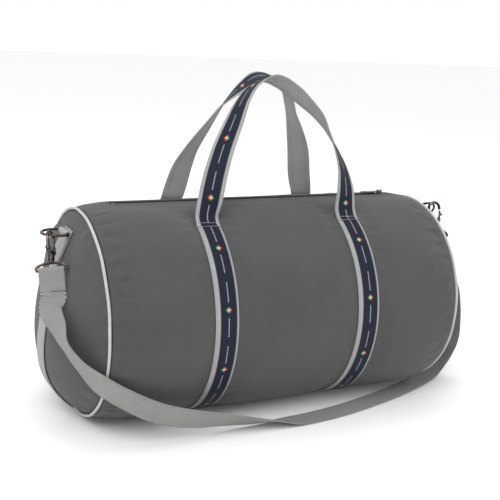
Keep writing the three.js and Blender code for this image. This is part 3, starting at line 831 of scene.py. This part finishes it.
# ---- The bag's surface ------------------------------------------------------------------------------------
@dataclass
class Barrel:
    """The filled canvas tube: its sizes, its surface, and the pieces sewn from canvas."""

    half_length: float = 0.254
    mid_radius: float = 0.143
    end_radius: float = 0.1345
    mid_axis: float = 0.138
    end_axis: float = 0.139
    taper_start: float = 0.206
    panel_radius: float = 0.13155
    bulge: float = 0.042
    canvas: float = 0.0015
    band_x: float = 0.104
    band_inset: float = 0.0027
    slot_half_width: float = 0.0052
    slot_half_length: float = 0.2135
    seed: int = 11
    waves: list = field(default_factory=list)

    def __post_init__(self) -> None:
        """Draws the gentle waves of the cloth once, from a fixed seed."""
        rng = np.random.default_rng(self.seed)
        for _ in range(22):
            self.waves.append(
                (rng.uniform(6, 34), int(rng.integers(1, 9)), rng.uniform(0, 2 * math.pi), rng.uniform(0.3, 1.0))
            )

    def taper(self, x: Array) -> Array:
        """Returns how far towards its end the tube has drawn in, from 0 to 1."""
        return np.clip((np.abs(x) - self.taper_start) / (self.half_length - self.taper_start), 0, 1)

    def inset(self, x: Array, angle: Array) -> Array:
        """Returns how far a band draws the canvas in."""
        across = 1 - soft((np.abs(np.abs(x) - self.band_x) - 0.018) / 0.030)
        around = soft((np.abs(np.degrees(angle)) - 15) / 7)
        return self.band_inset * across * around

    def folds(self, x: Array, angle: Array) -> Array:
        """Returns the cloth's waves and puckers, in metres, which die away at every seam."""
        broad = np.zeros_like(x)
        for pitch, turns, phase, size in self.waves:
            broad += size * np.sin(pitch * x + turns * angle + phase)
        broad *= 0.00042
        end_side = self.half_length - np.abs(x)
        pucker = 0.0011 * np.exp(-((end_side - 0.016) / 0.013) ** 2)
        pucker = pucker * (np.sin(46 * angle + 2.0 * np.sin(5 * angle)) + 0.5 * np.sin(83 * angle + 1.3))
        side = np.abs(np.abs(x) - self.band_x) - 0.017
        tug = 0.0006 * np.exp(-((side - 0.010) / 0.009) ** 2)
        tug = tug * (np.sin(58 * angle + 3 * np.sin(4 * angle)) + 0.4 * np.sin(31 * angle))
        clear = soft((side - 0.001) / 0.012) * soft((end_side - 0.005) / 0.012)
        near_zip = np.abs(angle) * self.mid_radius
        clear = clear * soft((near_zip - 0.018) / 0.02)
        base = soft((np.abs(np.degrees(angle)) - 172) / -14)
        return (broad + pucker + tug) * clear * (0.25 + 0.75 * base)

    def point(self, x: Array, angle: Array, offset: float | Array = 0.0, folds: bool = False) -> Array:
        """Returns points of the bag's surface, by angle from the top to the rear, moved out by offset."""
        x, angle = np.broadcast_arrays(np.asarray(x, float), np.asarray(angle, float))
        share = self.taper(x)
        radius = self.mid_radius - (self.mid_radius - self.end_radius) * share**1.8
        draw = self.inset(x, angle)
        if folds:
            draw = draw - self.folds(x, angle)
        out = radius - draw + offset
        height = self.mid_axis + (self.end_axis - self.mid_axis) * share + out * np.cos(angle)
        low = np.maximum(self.inset(x, angle) - offset, 0)
        height = low + soft_floor(height - low, 0.004)
        return np.stack([x, out * np.sin(angle), height], -1)

    def panel_point(self, side: int, y: Array, z: Array, offset: float | Array = 0.0) -> Array:
        """Returns points of an end panel's face."""
        rise = z - self.end_axis
        share = np.minimum(np.hypot(y, rise) / self.panel_radius, 1)
        out = self.bulge * (1 - share**3) * (1 - 0.45 * rise / self.end_radius)
        return np.stack([side * (self.half_length + out + offset), y, z], -1)

    def build(self, shop: Workshop, repeat: Repeater) -> None:
        """Sews the tube, its ends, the piping and its seams."""
        self.body(shop)
        for hand in Hand:
            self.end(shop, hand)
            self.piping(shop, hand)
            self.binding(shop, hand)
        self.seams(shop, repeat)

    def body(self, shop: Workshop) -> None:
        """Makes the tube with the zip's opening, in one wall of canvas."""
        slot_ends = [-self.slot_half_length, self.slot_half_length]
        xs = np.unique(np.concatenate([np.linspace(-0.251, 0.251, 230), slot_ends]))
        edge = self.slot_half_width / self.mid_radius
        full = 2 * math.pi
        angles = np.concatenate([
            np.linspace(0, edge, 4)[:-1], np.linspace(edge, full - edge, 330), np.linspace(full - edge, full, 4)[1:],
        ])
        angles = np.where(angles > math.pi, angles - 2 * math.pi, angles)
        x, turn = np.meshgrid(xs, angles, indexing="ij")
        turn[:, -1] = 0.0
        points = self.point(x, turn, folds=True)
        hem = 0.0007 * np.exp(-((np.abs(np.abs(turn) * self.mid_radius - 0.0072) / 0.0022) ** 2))
        points[..., 2] += np.where(np.abs(x) < self.slot_half_length + 0.004, hem, 0)
        around = np.concatenate([[0], np.cumsum(np.abs(np.diff(np.unwrap(angles))))]) * self.mid_radius
        uvs = np.stack([x, np.broadcast_to(around, x.shape)], -1)
        middle = (xs[:-1] + xs[1:]) / 2
        slot_cols = np.zeros(len(angles) - 1, bool)
        slot_cols[:3] = slot_cols[-3:] = True
        keep = ~((np.abs(middle) < self.slot_half_length)[:, None] & slot_cols[None, :])
        made = shop.grid("canvas_body", points, uvs, wrap=True, keep=keep)
        face_outwards(made, Vector((0, 0, self.mid_axis)))
        shop.finish(shop.wall(made, self.canvas), CANVAS, "barrel", "body_panel")

    def end(self, shop: Workshop, hand: Hand) -> None:
        """Makes a domed end panel, eased into its seam with small radial gathers."""
        side = hand.value
        shares = np.concatenate([[0.004], np.linspace(0.03, 0.9, 34), np.linspace(0.915, 1.0, 9)])
        turns = np.linspace(0, 2 * math.pi, 217)
        share, turn = np.meshgrid(shares, turns, indexing="ij")
        y = self.panel_radius * share * np.cos(turn)
        z = self.end_axis + self.panel_radius * share * np.sin(turn)
        gather = 0.0009 * np.exp(-(((share - 0.93) / 0.05) ** 2)) * np.sin(38 * turn + 2.2 * np.sin(4 * turn))
        strap_clear = soft((np.abs(y) - 0.020) / 0.02)
        broad = 0.0016 * np.sin(26 * y + 1.0) * np.sin(21 * z + side) + 0.0009 * np.sin(52 * y - 33 * z)
        crease = -0.0022 * np.exp(-(((z - 0.075 - 0.35 * np.abs(y + 0.05)) / 0.012) ** 2)) * soft((-y - 0.02) / 0.03)
        puff = 0.0045 * soft((y - 0.03) / 0.04) * soft((share - 0.55) / 0.25)
        puff = puff * (1 - soft((share - 0.93) / 0.07)) * soft((z - 0.17) / 0.05)
        rim = 1 - soft((share - 0.86) / 0.12)
        offset = (gather * (1 - soft((share - 0.97) / 0.03)) + (broad + crease) * rim * 0.8) * strap_clear
        points = self.panel_point(side, y, z, np.minimum(offset, 0.0012) + puff)
        uvs = np.stack([y * side, z], -1)
        made = shop.grid(f"{hand.name.lower()}_canvas_end", points, uvs, wrap=True)
        cap = bmesh.new()
        cap.from_mesh(made.data)
        layer = cap.loops.layers.uv.active
        borders = [e for e in cap.edges if e.is_boundary]
        hole = min(borders, key=lambda e: Vector((0, e.verts[0].co.y, e.verts[0].co.z - self.end_axis)).length)
        near = [e for e in borders if (e.verts[0].co - hole.verts[0].co).length < 0.01]
        filled = bmesh.ops.holes_fill(cap, edges=near, sides=0)
        for face in filled["faces"]:
            for loop in face.loops:
                loop[layer].uv = (loop.vert.co.y * side, loop.vert.co.z)
        cap.to_mesh(made.data)
        cap.free()
        face_outwards(made, Vector((0, 0, self.end_axis)))
        name = hand.name.lower()
        shop.finish(shop.wall(made, self.canvas), CANVAS, "barrel", f"{name}_end_panel")

    def piping(self, shop: Workshop, hand: Hand) -> None:
        """Makes the corded piping round an end, with the slight lumps of its cord."""
        turns = np.linspace(0, 2 * math.pi, 360, endpoint=False)
        radius = self.end_radius + 0.00012 * np.sin(9 * turns + 1) + 0.0001 * np.sin(23 * turns)
        xs = np.full_like(turns, hand.value * self.half_length)
        ring = np.stack([xs, radius * np.sin(turns), self.end_axis + radius * np.cos(turns)], 1)
        ring[:, 0] += 0.0002 * np.sin(13 * turns + hand.value)
        made = shop.tube(f"{hand.name.lower()}_piping_cord", ring, 0.0019)
        shop.finish(made, PIPING, "barrel", f"{hand.name.lower()}_piping")

    def binding(self, shop: Workshop, hand: Hand) -> None:
        """Makes the tape that binds the seam on the inside."""
        turns = np.linspace(0, 2 * math.pi, 181)
        xs = self.half_length + np.array([-0.012, -0.0078, -0.0035])
        x, turn = np.meshgrid(hand.value * xs, turns, indexing="ij")
        grid = np.stack([x, 0.1306 * np.sin(turn), self.end_axis + 0.1306 * np.cos(turn)], -1)
        uvs = np.stack([x, turn * 0.1306], -1)
        made = shop.grid(f"{hand.name.lower()}_seam_tape", grid, uvs, wrap=True)
        face_outwards(made, Vector((hand.value * 0.246, 0, self.end_axis)))
        shop.finish(shop.wall(made, 0.002), BINDING, "barrel", f"{hand.name.lower()}_seam_binding")

    def seams(self, shop: Workshop, repeat: Repeater) -> None:
        """Sets the topstitching beside the zip."""
        xs = np.linspace(-0.2105, 0.2105, 160)
        lines = []
        for sign in (-1, 1):
            for arc in (0.0075, 0.0135):
                angles = np.full_like(xs, sign * arc / self.mid_radius)
                lines.append(self.point(xs, angles, 0.0007 if arc < 0.01 else 0.00012, folds=True))
            ends = np.linspace(-0.0075, 0.0075, 10) / self.mid_radius
            lines.append(self.point(np.full_like(ends, sign * 0.2175), ends, 0.0003, folds=True))
        made = repeat.along(shop, "zip_topstitching", lines, 0.0036, (0.0029, 0.0006, 0.0006), DARK_THREAD)
        shop.finish(made, DARK_THREAD, "barrel")


def soft(t: Array) -> Array:
    """Returns a smooth rise from 0 to 1 as t goes from 0 to 1."""
    t = np.clip(t, 0, 1)
    return t * t * (3 - 2 * t)


def soft_floor(height: Array, reach: float) -> Array:
    """Returns heights kept above 0, rounded off within reach of it."""
    near = np.clip((height + reach) / (2 * reach), 0, 1)
    return np.where(height > reach, height, np.where(height < -reach, 0.0, reach * near**2))


def face_outwards(made: bpy.types.Object, middle: Vector) -> None:
    """Turns an open sheet's faces away from a point."""
    sheet = bmesh.new()
    sheet.from_mesh(made.data)
    score = 0.0
    for face in sheet.faces:
        away = face.calc_center_median() - middle
        away.x *= 0.0 if abs(face.normal.x) < 0.5 else 1.0
        score += face.normal.dot(away) * face.calc_area()
    if score < 0:
        bmesh.ops.reverse_faces(sheet, faces=sheet.faces)
    sheet.to_mesh(made.data)
    sheet.free()


# ---- Bands and handles ------------------------------------------------------------------------------------
@dataclass
class Straps:
    """The webbing that goes round the bag and up into its handles, faced with ribbon."""

    barrel: Barrel
    width: float = 0.032
    thickness: float = 0.0016
    ribbon_width: float = 0.022
    ribbon: float = 0.0005
    ribbon_shift: float = 0.0015
    top_deg: float = 28.4
    foot_y: float = 0.0683
    foot_z: float = 0.2634

    FRONT = [
        (-104, -68.3, 263.4, 1, 0, 0), (-103, -61, 273, 1, 0, 0), (-98, -58, 293, 0.95, -0.3, 0),
        (-89, -51, 323, 0.8, -0.6, 0), (-76, -42, 355, 0.65, -0.75, 0), (-60, -34, 386, 0.45, -0.9, 0),
        (-43, -26, 417, 0.2, -0.95, 0.15), (-28, -21, 434, 0.1, -0.97, 0.2), (-12, -18, 443, 0.05, -0.95, 0.25),
        (2, -17, 445, 0.05, -0.9, 0.4), (17, -18, 440, 0.1, -0.88, 0.45), (34, -22, 429, 0.1, -0.88, 0.45),
        (51, -26, 415, 0.05, -0.92, 0.35), (69, -31, 398, -0.05, -0.97, 0.2), (80, -36, 381, -0.3, -0.95, 0.1),
        (88, -41, 364, -0.45, -0.9, 0), (97, -46, 344, -0.65, -0.75, 0), (103, -51, 324, -0.8, -0.55, 0),
        (105, -57, 300, -0.95, -0.25, 0), (104.5, -61, 273, -1, 0, 0), (104, -68.3, 263.4, -1, 0, 0),
    ]
    REAR = [
        (-104, 68.3, 263.4, -1, 0, 0), (-103, 61, 273, -1, 0, 0), (-98, 59, 291, -0.98, 0, 0.1),
        (-92, 54, 317, -0.95, -0.2, 0.15), (-84, 47, 340, -0.85, -0.5, 0.15), (-65, 38, 374, -0.65, -0.7, 0.15),
        (-46, 29, 405, -0.45, -0.88, 0.05), (-25, 22, 428, -0.1, -0.98, -0.15), (-4, 17.5, 444, 0, -0.95, -0.3),
        (18, 18, 443, 0, -0.93, -0.35), (45, 23, 427, 0.05, -0.97, -0.25), (60, 31, 398, 0.05, -0.97, -0.2),
        (70, 36, 376, 0.3, -0.93, -0.15), (84, 46, 341, 0.68, -0.73, 0), (94, 56, 303, 0.92, -0.38, 0),
        (102.5, 61, 273, 1, 0, 0), (104, 68.3, 263.4, 1, 0, 0),
    ]

    def build(self, shop: Workshop, repeat: Repeater) -> None:
        """Makes both bands and both handles, with their ribbons and stitching."""
        stitches: list[Array] = []
        grey: list[Array] = []
        for hand in Hand:
            self.band(shop, hand, stitches, grey)
        made = repeat.along(shop, "band_ribbon_stitches", stitches, 0.003, (0.0024, 0.0005, 0.00045), NAVY_THREAD)
        shop.finish(made, NAVY_THREAD, "barrel")
        made = repeat.along(shop, "band_edge_stitches", grey, 0.0034, (0.0028, 0.0006, 0.0005), GREY_THREAD)
        shop.finish(made, GREY_THREAD, "barrel")
        self.handle(shop, repeat, "front", self.FRONT, -1)
        self.handle(shop, repeat, "rear", self.REAR, 1)

    def band(self, shop: Workshop, hand: Hand, stitches: list[Array], grey: list[Array]) -> None:
        """Makes one band round the bag, from the front handle's foot under the bag to the rear one's."""
        name = hand.name.lower()
        angles = np.radians(np.linspace(self.top_deg, 360 - self.top_deg, 520))
        angles = np.where(angles > math.pi, angles - 2 * math.pi, angles)[::-1]
        middle = hand.value * self.barrel.band_x

        def route(x: float, lift: float) -> Route:
            """Returns the route round the bag at x, lifted off the canvas."""
            inner = self.barrel.point(np.full_like(angles, x), angles, lift)
            across = np.broadcast_to(np.array([1.0, 0.0, 0.0]), inner.shape)
            made = Route.along_line(inner, across)
            outward = np.stack([0 * angles, np.sin(angles), np.cos(angles)], 1)
            if np.sum(made.face * outward) < 0:
                made = Route(made.points, -made.across, -made.face, made.along)
            return made

        web = route(middle, 0.00035 + self.thickness / 2)
        band = shop.strip(f"{name}_band_webbing", web, self.width, self.thickness)
        shop.finish(band, WEBBING, "barrel", f"{name}_band")
        top = route(middle + self.ribbon_shift, 0.0022 + self.ribbon / 2)
        rib = shop.strip(f"{name}_band_facing", top, self.ribbon_width, self.ribbon)
        shop.finish(rib, RIBBON, "barrel", f"{name}_band_ribbon")
        for side in (-1, 1):
            stitches.append(top.line(side * (self.ribbon_width / 2 - 0.0011), self.ribbon / 2 + 0.00002))
            grey.append(web.line(side * (self.width / 2 - 0.0022), self.thickness / 2 + 0.00002))

    def handle(self, shop: Workshop, repeat: Repeater, name: str, stations: list, side: int) -> None:
        """Makes one handle, which bends up from its sewn feet.

        Args:
            shop: the workshop.
            repeat: the stitch setter.
            name: front or rear.
            stations: the handle's places and directions.
            side: -1 for the front and 1 for the rear.
        """
        laps = [(key[0], side * 72.4, 261.1, *key[3:]) for key in (stations[0], stations[-1])]
        route = Route.through([laps[0], *stations, laps[1]], 440)
        web = shop.strip(f"{name}_handle_webbing", route, self.width, self.thickness)
        rise = self.thickness / 2 + 0.0003 + self.ribbon / 2
        rib = shop.strip(f"{name}_handle_facing", route, self.ribbon_width, self.ribbon, rise=rise)
        edge = self.ribbon_width / 2 - 0.0011
        top = rise + self.ribbon / 2 + 0.00002
        lines = [route.line(-edge, top)[6:-6], route.line(edge, top)[6:-6]]
        lines += [route.line(s * edge, -self.thickness / 2 - 0.00002)[6:-6] for s in (-1, 1)]
        sewn = repeat.along(shop, f"{name}_handle_stitches", lines, 0.003, (0.0024, 0.0005, 0.00045), NAVY_THREAD)
        rows = []
        for index in (22, len(route.points) - 23):
            place = route.points[index] + route.face[index] * (rise + self.ribbon / 2 + 0.00015)
            rows.append(np.array([place + route.across[index] * w for w in np.linspace(-0.0108, 0.0108, 12)]))
        tack = repeat.along(shop, f"{name}_handle_tacks", rows, 0.0024, (0.0023, 0.0008, 0.0007), PALE_THREAD)
        for made, finish, nodes in (
            (web, WEBBING, (f"{name}_handle",)),
            (rib, RIBBON, (f"{name}_handle_ribbon",)),
            (sewn, NAVY_THREAD, ()),
            (tack, PALE_THREAD, ()),
        ):
            shop.finish(made, finish, None, *nodes)
            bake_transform(made)


# ---- Zip --------------------------------------------------------------------------------------------------
@dataclass
class Zip:
    """The zip along the top: two tapes, two rows of teeth, the stops, the slider and its pull."""

    barrel: Barrel
    half_length: float = 0.207
    pitch: float = 0.0017

    def build(self, shop: Workshop, repeat: Repeater) -> None:
        """Makes every piece of the zip."""
        crown = self.barrel.mid_axis + self.barrel.mid_radius
        for name, side in (("front", -1), ("rear", 1)):
            xs = np.linspace(-self.half_length, self.half_length, 120)
            arcs = side * np.linspace(0.0034, 0.018, 12) / self.barrel.mid_radius
            x, turn = np.meshgrid(xs, arcs, indexing="ij")
            points = self.barrel.point(x, turn, -self.barrel.canvas - 0.00035)
            uvs = np.stack([(np.abs(turn) * self.barrel.mid_radius - 0.0107), x], -1)
            tape = shop.grid(f"zip_tape_{name}_woven", points, uvs)
            face_outwards(tape, Vector((0, 0, 0.1)))
            shop.finish(shop.wall(tape, 0.0007), ZIP_TAPE, "barrel", f"zipper_tape_{name}")
            start = -self.half_length + 0.001 + (self.pitch / 2 if side > 0 else 0)
            line = np.array([[x, side * 0.00155, crown - 0.0019] for x in np.linspace(start, self.half_length - 0.001, 40)])
            teeth = repeat.along(shop, f"zip_teeth_{name}", [line], self.pitch, (0.00125, 0.0032, 0.0021), TEETH)
            shop.finish(teeth, TEETH, "barrel", f"zipper_coil_{name}")
        for node, body, voxel in (
            ("zipper_left_stop", "barrel", 0.00025),
            ("zipper_right_stop", "barrel", 0.00025),
            ("zipper_slider", "slider", 0.0002),
            ("zipper_pull", "pull", 0.0002),
        ):
            shop.finish(shop.copied(f"{node}_cast", node, voxel, 4), NICKEL, body, node)


# ---- Ends: straps, rings and hooks ------------------------------------------------------------------------
@dataclass
class Fittings:
    """What is sewn to an end panel, and the snap hook that the shoulder strap hangs by."""

    barrel: Barrel
    width: float = 0.032
    thickness: float = 0.0016
    bar_x: float = 0.272
    bar_z: float = 0.246
    wire: float = 0.00175
    straight: float = 0.011
    bow: float = 0.0183

    def build(self, shop: Workshop, repeat: Repeater) -> None:
        """Makes the fittings of both ends."""
        for hand in Hand:
            self.end_strap(shop, repeat, hand)
            self.ring(shop, hand)
            self.hook(shop, hand)

    def end_strap(self, shop: Workshop, repeat: Repeater, hand: Hand) -> None:
        """Makes the strap down the end panel and the tab that holds the ring."""
        side, name = hand.value, hand.name.lower()

        def panel_line(zs: Array, offset: float) -> Array:
            """Returns a line down the middle of the end panel."""
            return self.barrel.panel_point(side, np.zeros_like(zs), zs, offset)

        across = np.array([0.0, 1.0, 0.0])
        down = panel_line(np.linspace(0.229, 0.0125, 150), 0.00065 + self.thickness / 2)
        route = Route.along_line(down, np.broadcast_to(across, down.shape))
        strap = shop.strip(f"{name}_end_webbing", route, self.width, self.thickness)
        shop.finish(strap, WEBBING, "barrel", f"{name}_end_strap")

        back = panel_line(np.linspace(0.2295, 0.250, 24), 0.0004 + self.thickness / 2)
        back_route = Route.along_line(back, np.broadcast_to(across, back.shape))
        patch = shop.strip(f"{name}_tab_back", back_route, self.width, self.thickness)
        shop.finish(patch, WEBBING, "barrel")
        bend = self.wire + 0.0004 + self.thickness / 2
        centre = np.array([side * self.bar_x, 0.0, self.bar_z])
        turn = np.radians(np.linspace(200, -75, 30))
        loop = centre + bend * np.stack([side * np.cos(turn), 0 * turn, np.sin(turn)], 1)
        under = panel_line(np.linspace(0.205, 0.2385, 9), 0.0009 + 0.5 * self.thickness)
        inner = panel_line(np.array([0.2405]), 0.0006 + 1.5 * self.thickness)
        line = np.vstack([inner + [side * 0.0002, 0, 0.002], loop, under[::-1] + [side * self.thickness, 0, 0]])
        smooth_line = spline(line, 120)[0]
        loop_route = Route.along_line(smooth_line, np.broadcast_to(across, smooth_line.shape))
        tab = shop.strip(f"{name}_tab_loop", loop_route, self.width - 0.0004, self.thickness)
        shop.finish(tab, WEBBING, "barrel", f"{name}_d_ring_tab")

        half = self.width / 2 - 0.0022
        lines = [route.line(s * half, face_side(route, side) * (self.thickness / 2 + 0.00003)) for s in (-1, 1)]
        for z in (0.2075, 0.2105, 0.2335):
            row = self.barrel.panel_point(side, np.linspace(-half, half, 16), np.full(16, z), 0.00095 + 2.0 * self.thickness)
            lines.append(row)
        sewn = repeat.along(shop, f"{name}_end_stitches", lines, 0.0034, (0.0028, 0.0006, 0.0005), GREY_THREAD)
        shop.finish(sewn, GREY_THREAD, "barrel")

    def ring(self, shop: Workshop, hand: Hand) -> None:
        """Bends the D-ring's wire, with its butt joint behind the tab."""
        lift = math.radians(35) if hand is Hand.RIGHT else 0.0
        corner = self.bow - 0.0013
        flat = [(0.0, -corner + i * corner / 3) for i in range(7)] + [(0.0013, self.bow)]
        for i in range(17):
            a = math.pi / 2 - i * math.pi / 16
            flat.append((self.straight + self.bow * math.cos(a), self.bow * math.sin(a)))
        flat.append((0.0013, -self.bow))
        along = np.array([hand.value * math.cos(lift), 0.0, math.sin(lift)])
        keys = np.array([np.array([hand.value * self.bar_x, y, self.bar_z]) + along * out for out, y in flat])
        closed = np.vstack([keys[-2:], keys, keys[:3]])
        dense = spline(closed, 6 * (len(closed) - 1) + 1)[0][12:-13]
        name = hand.name.lower()
        made = shop.tube(f"{name}_ring_wire", dense, self.wire, sides=18)
        shop.finish(made, NICKEL, f"{name}_ring", f"{name}_d_ring")

    def hook(self, shop: Workshop, hand: Hand) -> None:
        """Casts the snap hook and its eye."""
        name = hand.name.lower()
        for node, body, finish, voxel, rounds in (
            ("hook_body", "hook", NICKEL, 0.0003, 8),
            ("hook_gate", "gate", NICKEL, 0.0002, 5),
            ("gate_pin", "hook", NICKEL, 0.00012, 3),
            ("gate_spring", "hook", SPRING, 0.0001, 2),
            ("swivel_eye", "eye", NICKEL, 0.0003, 7),
        ):
            made = shop.copied(f"{name}_{node}_cast", f"{name}_{node}", voxel, rounds)
            shop.finish(made, finish, f"{name}_{body}", f"{name}_{node}")


def face_side(route: Route, side: int) -> int:
    """Returns 1 where a route faces away from the bag's middle, else -1."""
    return 1 if route.face[len(route.face) // 2, 0] * side > 0 else -1


# ---- Shoulder strap ---------------------------------------------------------------------------------------
@dataclass
class ShoulderStrap:
    """The long strap, lying where it was dropped in front of the bag, with a sewn fold at each hook."""

    width: float = 0.032
    thickness: float = 0.0016
    samples: int = 760
    eye_rod: float = 0.0019
    fold: float = 0.026

    MIDDLE = [
        (-305, -59, 164, 0.72, -0.62, 0.3), (-299, -77, 144, 0.3, -0.75, 0.6),
        (-295, -97, 125, -0.1, -0.8, 0.6), (-282, -112, 106, 0, -0.8, 0.6), (-260, -127, 85, 0.3, -0.58, 0.76),
        (-229, -137, 65, 0.36, -0.46, 0.82), (-193, -140, 46, 0.33, -0.36, 0.87), (-149, -140, 32, 0.24, -0.4, 0.88),
        (-96, -138, 22, 0.18, -0.65, 0.74), (-36, -134, 10, 0.14, -0.86, 0.45), (14, -128, 2.5, 0.13, -0.99, 0.03),
        (60, -122, 2, 0.17, -0.98, 0), (106, -112, 2, 0.24, -0.97, 0), (150, -99, 2, 0.3, -0.95, 0),
        (200, -82, 2, 0.36, -0.93, 0), (250, -60, 2, 0.4, -0.92, 0), (289, -42, 6, 0.4, -0.92, 0),
        (313, -34, 23, 0.35, -0.94, 0), (322, -38, 46, 0.3, -0.95, 0), (321, -47, 70, 0.25, -0.97, 0),
        (316, -53, 95, 0.22, -0.97, 0), (312, -54, 120, 0.25, -0.97, 0), (308, -48, 145, 0.35, -0.94, 0),
        (302.5, -30, 166, 0.35, -0.93, 0),
    ]
    BARS = {
        "left": ((-299.650, -41.763, 208.715), (0.917, -0.377, 0.131), (-0.2, -0.25, -0.945)),
        "right": ((298.667, -16.150, 215.667), (0.3457, -0.9216, 0.1763), (0.03, -0.2, -0.98)),
    }

    def frame(self, name: str) -> tuple[Array, Array, Array]:
        """Returns an eye's bar, the direction along it, and the way its fold hangs."""
        bar, across, fall = (np.array(v, float) for v in self.BARS[name])
        across /= np.linalg.norm(across)
        fall -= across * fall.dot(across)
        return bar * MM, across, fall / np.linalg.norm(fall)

    def route(self) -> Route:
        """Returns the whole strap's route, from the left fold to the right one."""
        ends = {}
        for name in self.BARS:
            bar, across, fall = self.frame(name)
            ends[name] = [tuple((bar / MM + fall * (26 + gap)).tolist()) + tuple(across) for gap in (0.8, 7)]
        return Route.through([*ends["left"], *self.MIDDLE, *reversed(ends["right"])], self.samples)

    def build(self, shop: Workshop, repeat: Repeater) -> None:
        """Makes the strap's two lengths and its two folds."""
        route = self.route()
        split = int(np.argmin(np.abs(route.points[:, 0] - 0.014)))
        for name, part in (("left", route.part(0, split + 1)), ("right", route.part(split, self.samples))):
            made = shop.strip(f"{name}_shoulder_webbing", part, self.width, self.thickness)
            # The strap takes the darker painted-shade copy of the webbing.
            shop.finish(made, SHADED_STRAP_WEBBING, None, "shoulder_strap")
            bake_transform(made)
        for name in self.BARS:
            self.folded_end(shop, repeat, name)

    def folded_end(self, shop: Workshop, repeat: Repeater, name: str) -> None:
        """Makes the strap's end, which goes round the eye's bar and is sewn back on itself."""
        bar, across, fall = self.frame(name)
        out = np.cross(across, fall)
        bend = self.eye_rod + 0.00045 + self.thickness / 2
        ply = self.thickness / 2 + 0.00012

        def place(side: float, drop: float) -> Array:
            """Returns a point off the bar, out to a side and down the fall."""
            return bar + out * side + fall * drop

        down = [place(-ply, d) for d in (self.fold, 0.021, 0.016)]
        down += [place(-0.5 * (ply + bend), 0.008)]
        turn = [bar + bend * (-out * math.cos(a) - fall * math.sin(a)) for a in np.linspace(-0.1, math.pi + 0.1, 15)]
        up = [place(0.5 * (ply + bend), 0.008)] + [place(ply, d) for d in (0.016, 0.021, self.fold)]
        line = spline(np.array(down + turn + up), 130)[0]
        route = Route.along_line(line, np.broadcast_to(across, line.shape))
        made = shop.strip(f"{name}_strap_fold", route, self.width, self.thickness)
        # The fold takes the darker painted-shade copy of the webbing.
        shop.finish(made, SHADED_STRAP_WEBBING, f"{name}_eye", f"{name}_strap_end")
        rows = []
        half = self.width / 2 - 0.003
        for face in (-1, 1):
            for drop in (0.0205, 0.0235):
                base = place(face * (2 * ply - 0.00005), drop)
                rows.append(np.array([base + across * w for w in np.linspace(-half, half, 16)]))
        sewn = repeat.along(shop, f"{name}_fold_stitches", rows, 0.003, (0.0025, 0.0007, 0.0006), GREY_THREAD)
        shop.finish(sewn, GREY_THREAD, f"{name}_eye")


PALE_THREAD = Thread("pale_thread", "webbing", (0.4, 0.42, 0.46), 0.6, on_uv=False)
# Painted shade: the same grey webbing, painted darker for the shoulder strap, which lies low in the bag's shade.
SHADED_STRAP_WEBBING = Webbing("shoulder_webbing", "webbing", (0.31, 0.31, 0.306), 0.86)


# ---- Studio -----------------------------------------------------------------------------------------------
@dataclass
class Studio:
    """The camera, the floor and the lights."""

    place: tuple[float, float, float] = (-0.6157, -1.1951, 0.5313)
    yaw: float = 26.98
    pitch: float = -13.58
    roll: float = 3.29
    lens: float = 71.3
    pale: float = 0.95

    def camera(self) -> None:
        """Sets up the camera."""
        yaw, pitch, roll = (math.radians(a) for a in (self.yaw, self.pitch, self.roll))
        ahead = Vector((math.sin(yaw) * math.cos(pitch), math.cos(yaw) * math.cos(pitch), math.sin(pitch)))
        right = ahead.cross(Vector((0, 0, 1))).normalized()
        up = right.cross(ahead)
        r = right * math.cos(roll) + up * math.sin(roll)
        u = up * math.cos(roll) - right * math.sin(roll)
        data = bpy.data.cameras.new("view")
        data.lens = self.lens
        data.sensor_width = 36.0
        data.clip_start = 0.01
        made = bpy.data.objects.new("view", data)
        made.matrix_world = Matrix.Translation(self.place) @ Matrix((r, u, -ahead)).transposed().to_4x4()
        bpy.context.scene.collection.objects.link(made)
        bpy.context.scene.camera = made

    def floor(self) -> None:
        """Lays the plain pale floor."""
        data = bpy.data.meshes.new("floor")
        far = 9.0
        data.from_pydata([(-far, -far, 0), (far, -far, 0), (far, far, 0), (-far, far, 0)], [], [(0, 1, 2, 3)])
        made = bpy.data.objects.new("floor", data)
        paint = bpy.data.materials.new("floor_paper")
        paint.use_nodes = True
        skin = paint.node_tree.nodes["Principled BSDF"]
        skin.inputs["Base Color"].default_value = (self.pale, self.pale, self.pale, 1)
        skin.inputs["Roughness"].default_value = 0.9
        data.materials.append(paint)
        bpy.context.scene.collection.objects.link(made)

    def lights(self) -> None:
        """Hangs the soft lights."""
        world = bpy.data.worlds.new("studio")
        world.use_nodes = True
        world.node_tree.nodes["Background"].inputs[0].default_value = (1, 1, 1, 1)
        world.node_tree.nodes["Background"].inputs[1].default_value = 1.0
        bpy.context.scene.world = world
        bpy.context.scene.view_settings.view_transform = "Standard"
        for name, place, size, power in (
            ("key", (-1.5, -1.5, 2.3), 1.5, 36),
            ("top", (0.2, 0.5, 2.2), 1.6, 9),
            ("fill", (2.0, -1.4, 0.9), 1.6, 5),
        ):
            data = bpy.data.lights.new(name, "AREA")
            data.size = size
            data.energy = power
            made = bpy.data.objects.new(name, data)
            made.location = place
            made.rotation_euler = (Vector((0, 0, 0.15)) - Vector(place)).to_track_quat("-Z", "Y").to_euler()
            bpy.context.scene.collection.objects.link(made)


def main() -> None:
    """Builds the whole bag and its studio."""
    logging.basicConfig(level=logging.INFO, format="%(name)s: %(message)s")
    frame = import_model()
    studio = Studio()
    studio.camera()
    shop = Workshop(frame, Groups())
    repeat = Repeater()
    barrel = Barrel()
    ShoulderStrap().build(shop, repeat)
    barrel.build(shop, repeat)
    Straps(barrel).build(shop, repeat)
    Zip(barrel).build(shop, repeat)
    Fittings(barrel).build(shop, repeat)
    studio.floor()
    studio.lights()
    LOG.info("%d pieces", shop.count)


if __name__ == "__main__":
    main()
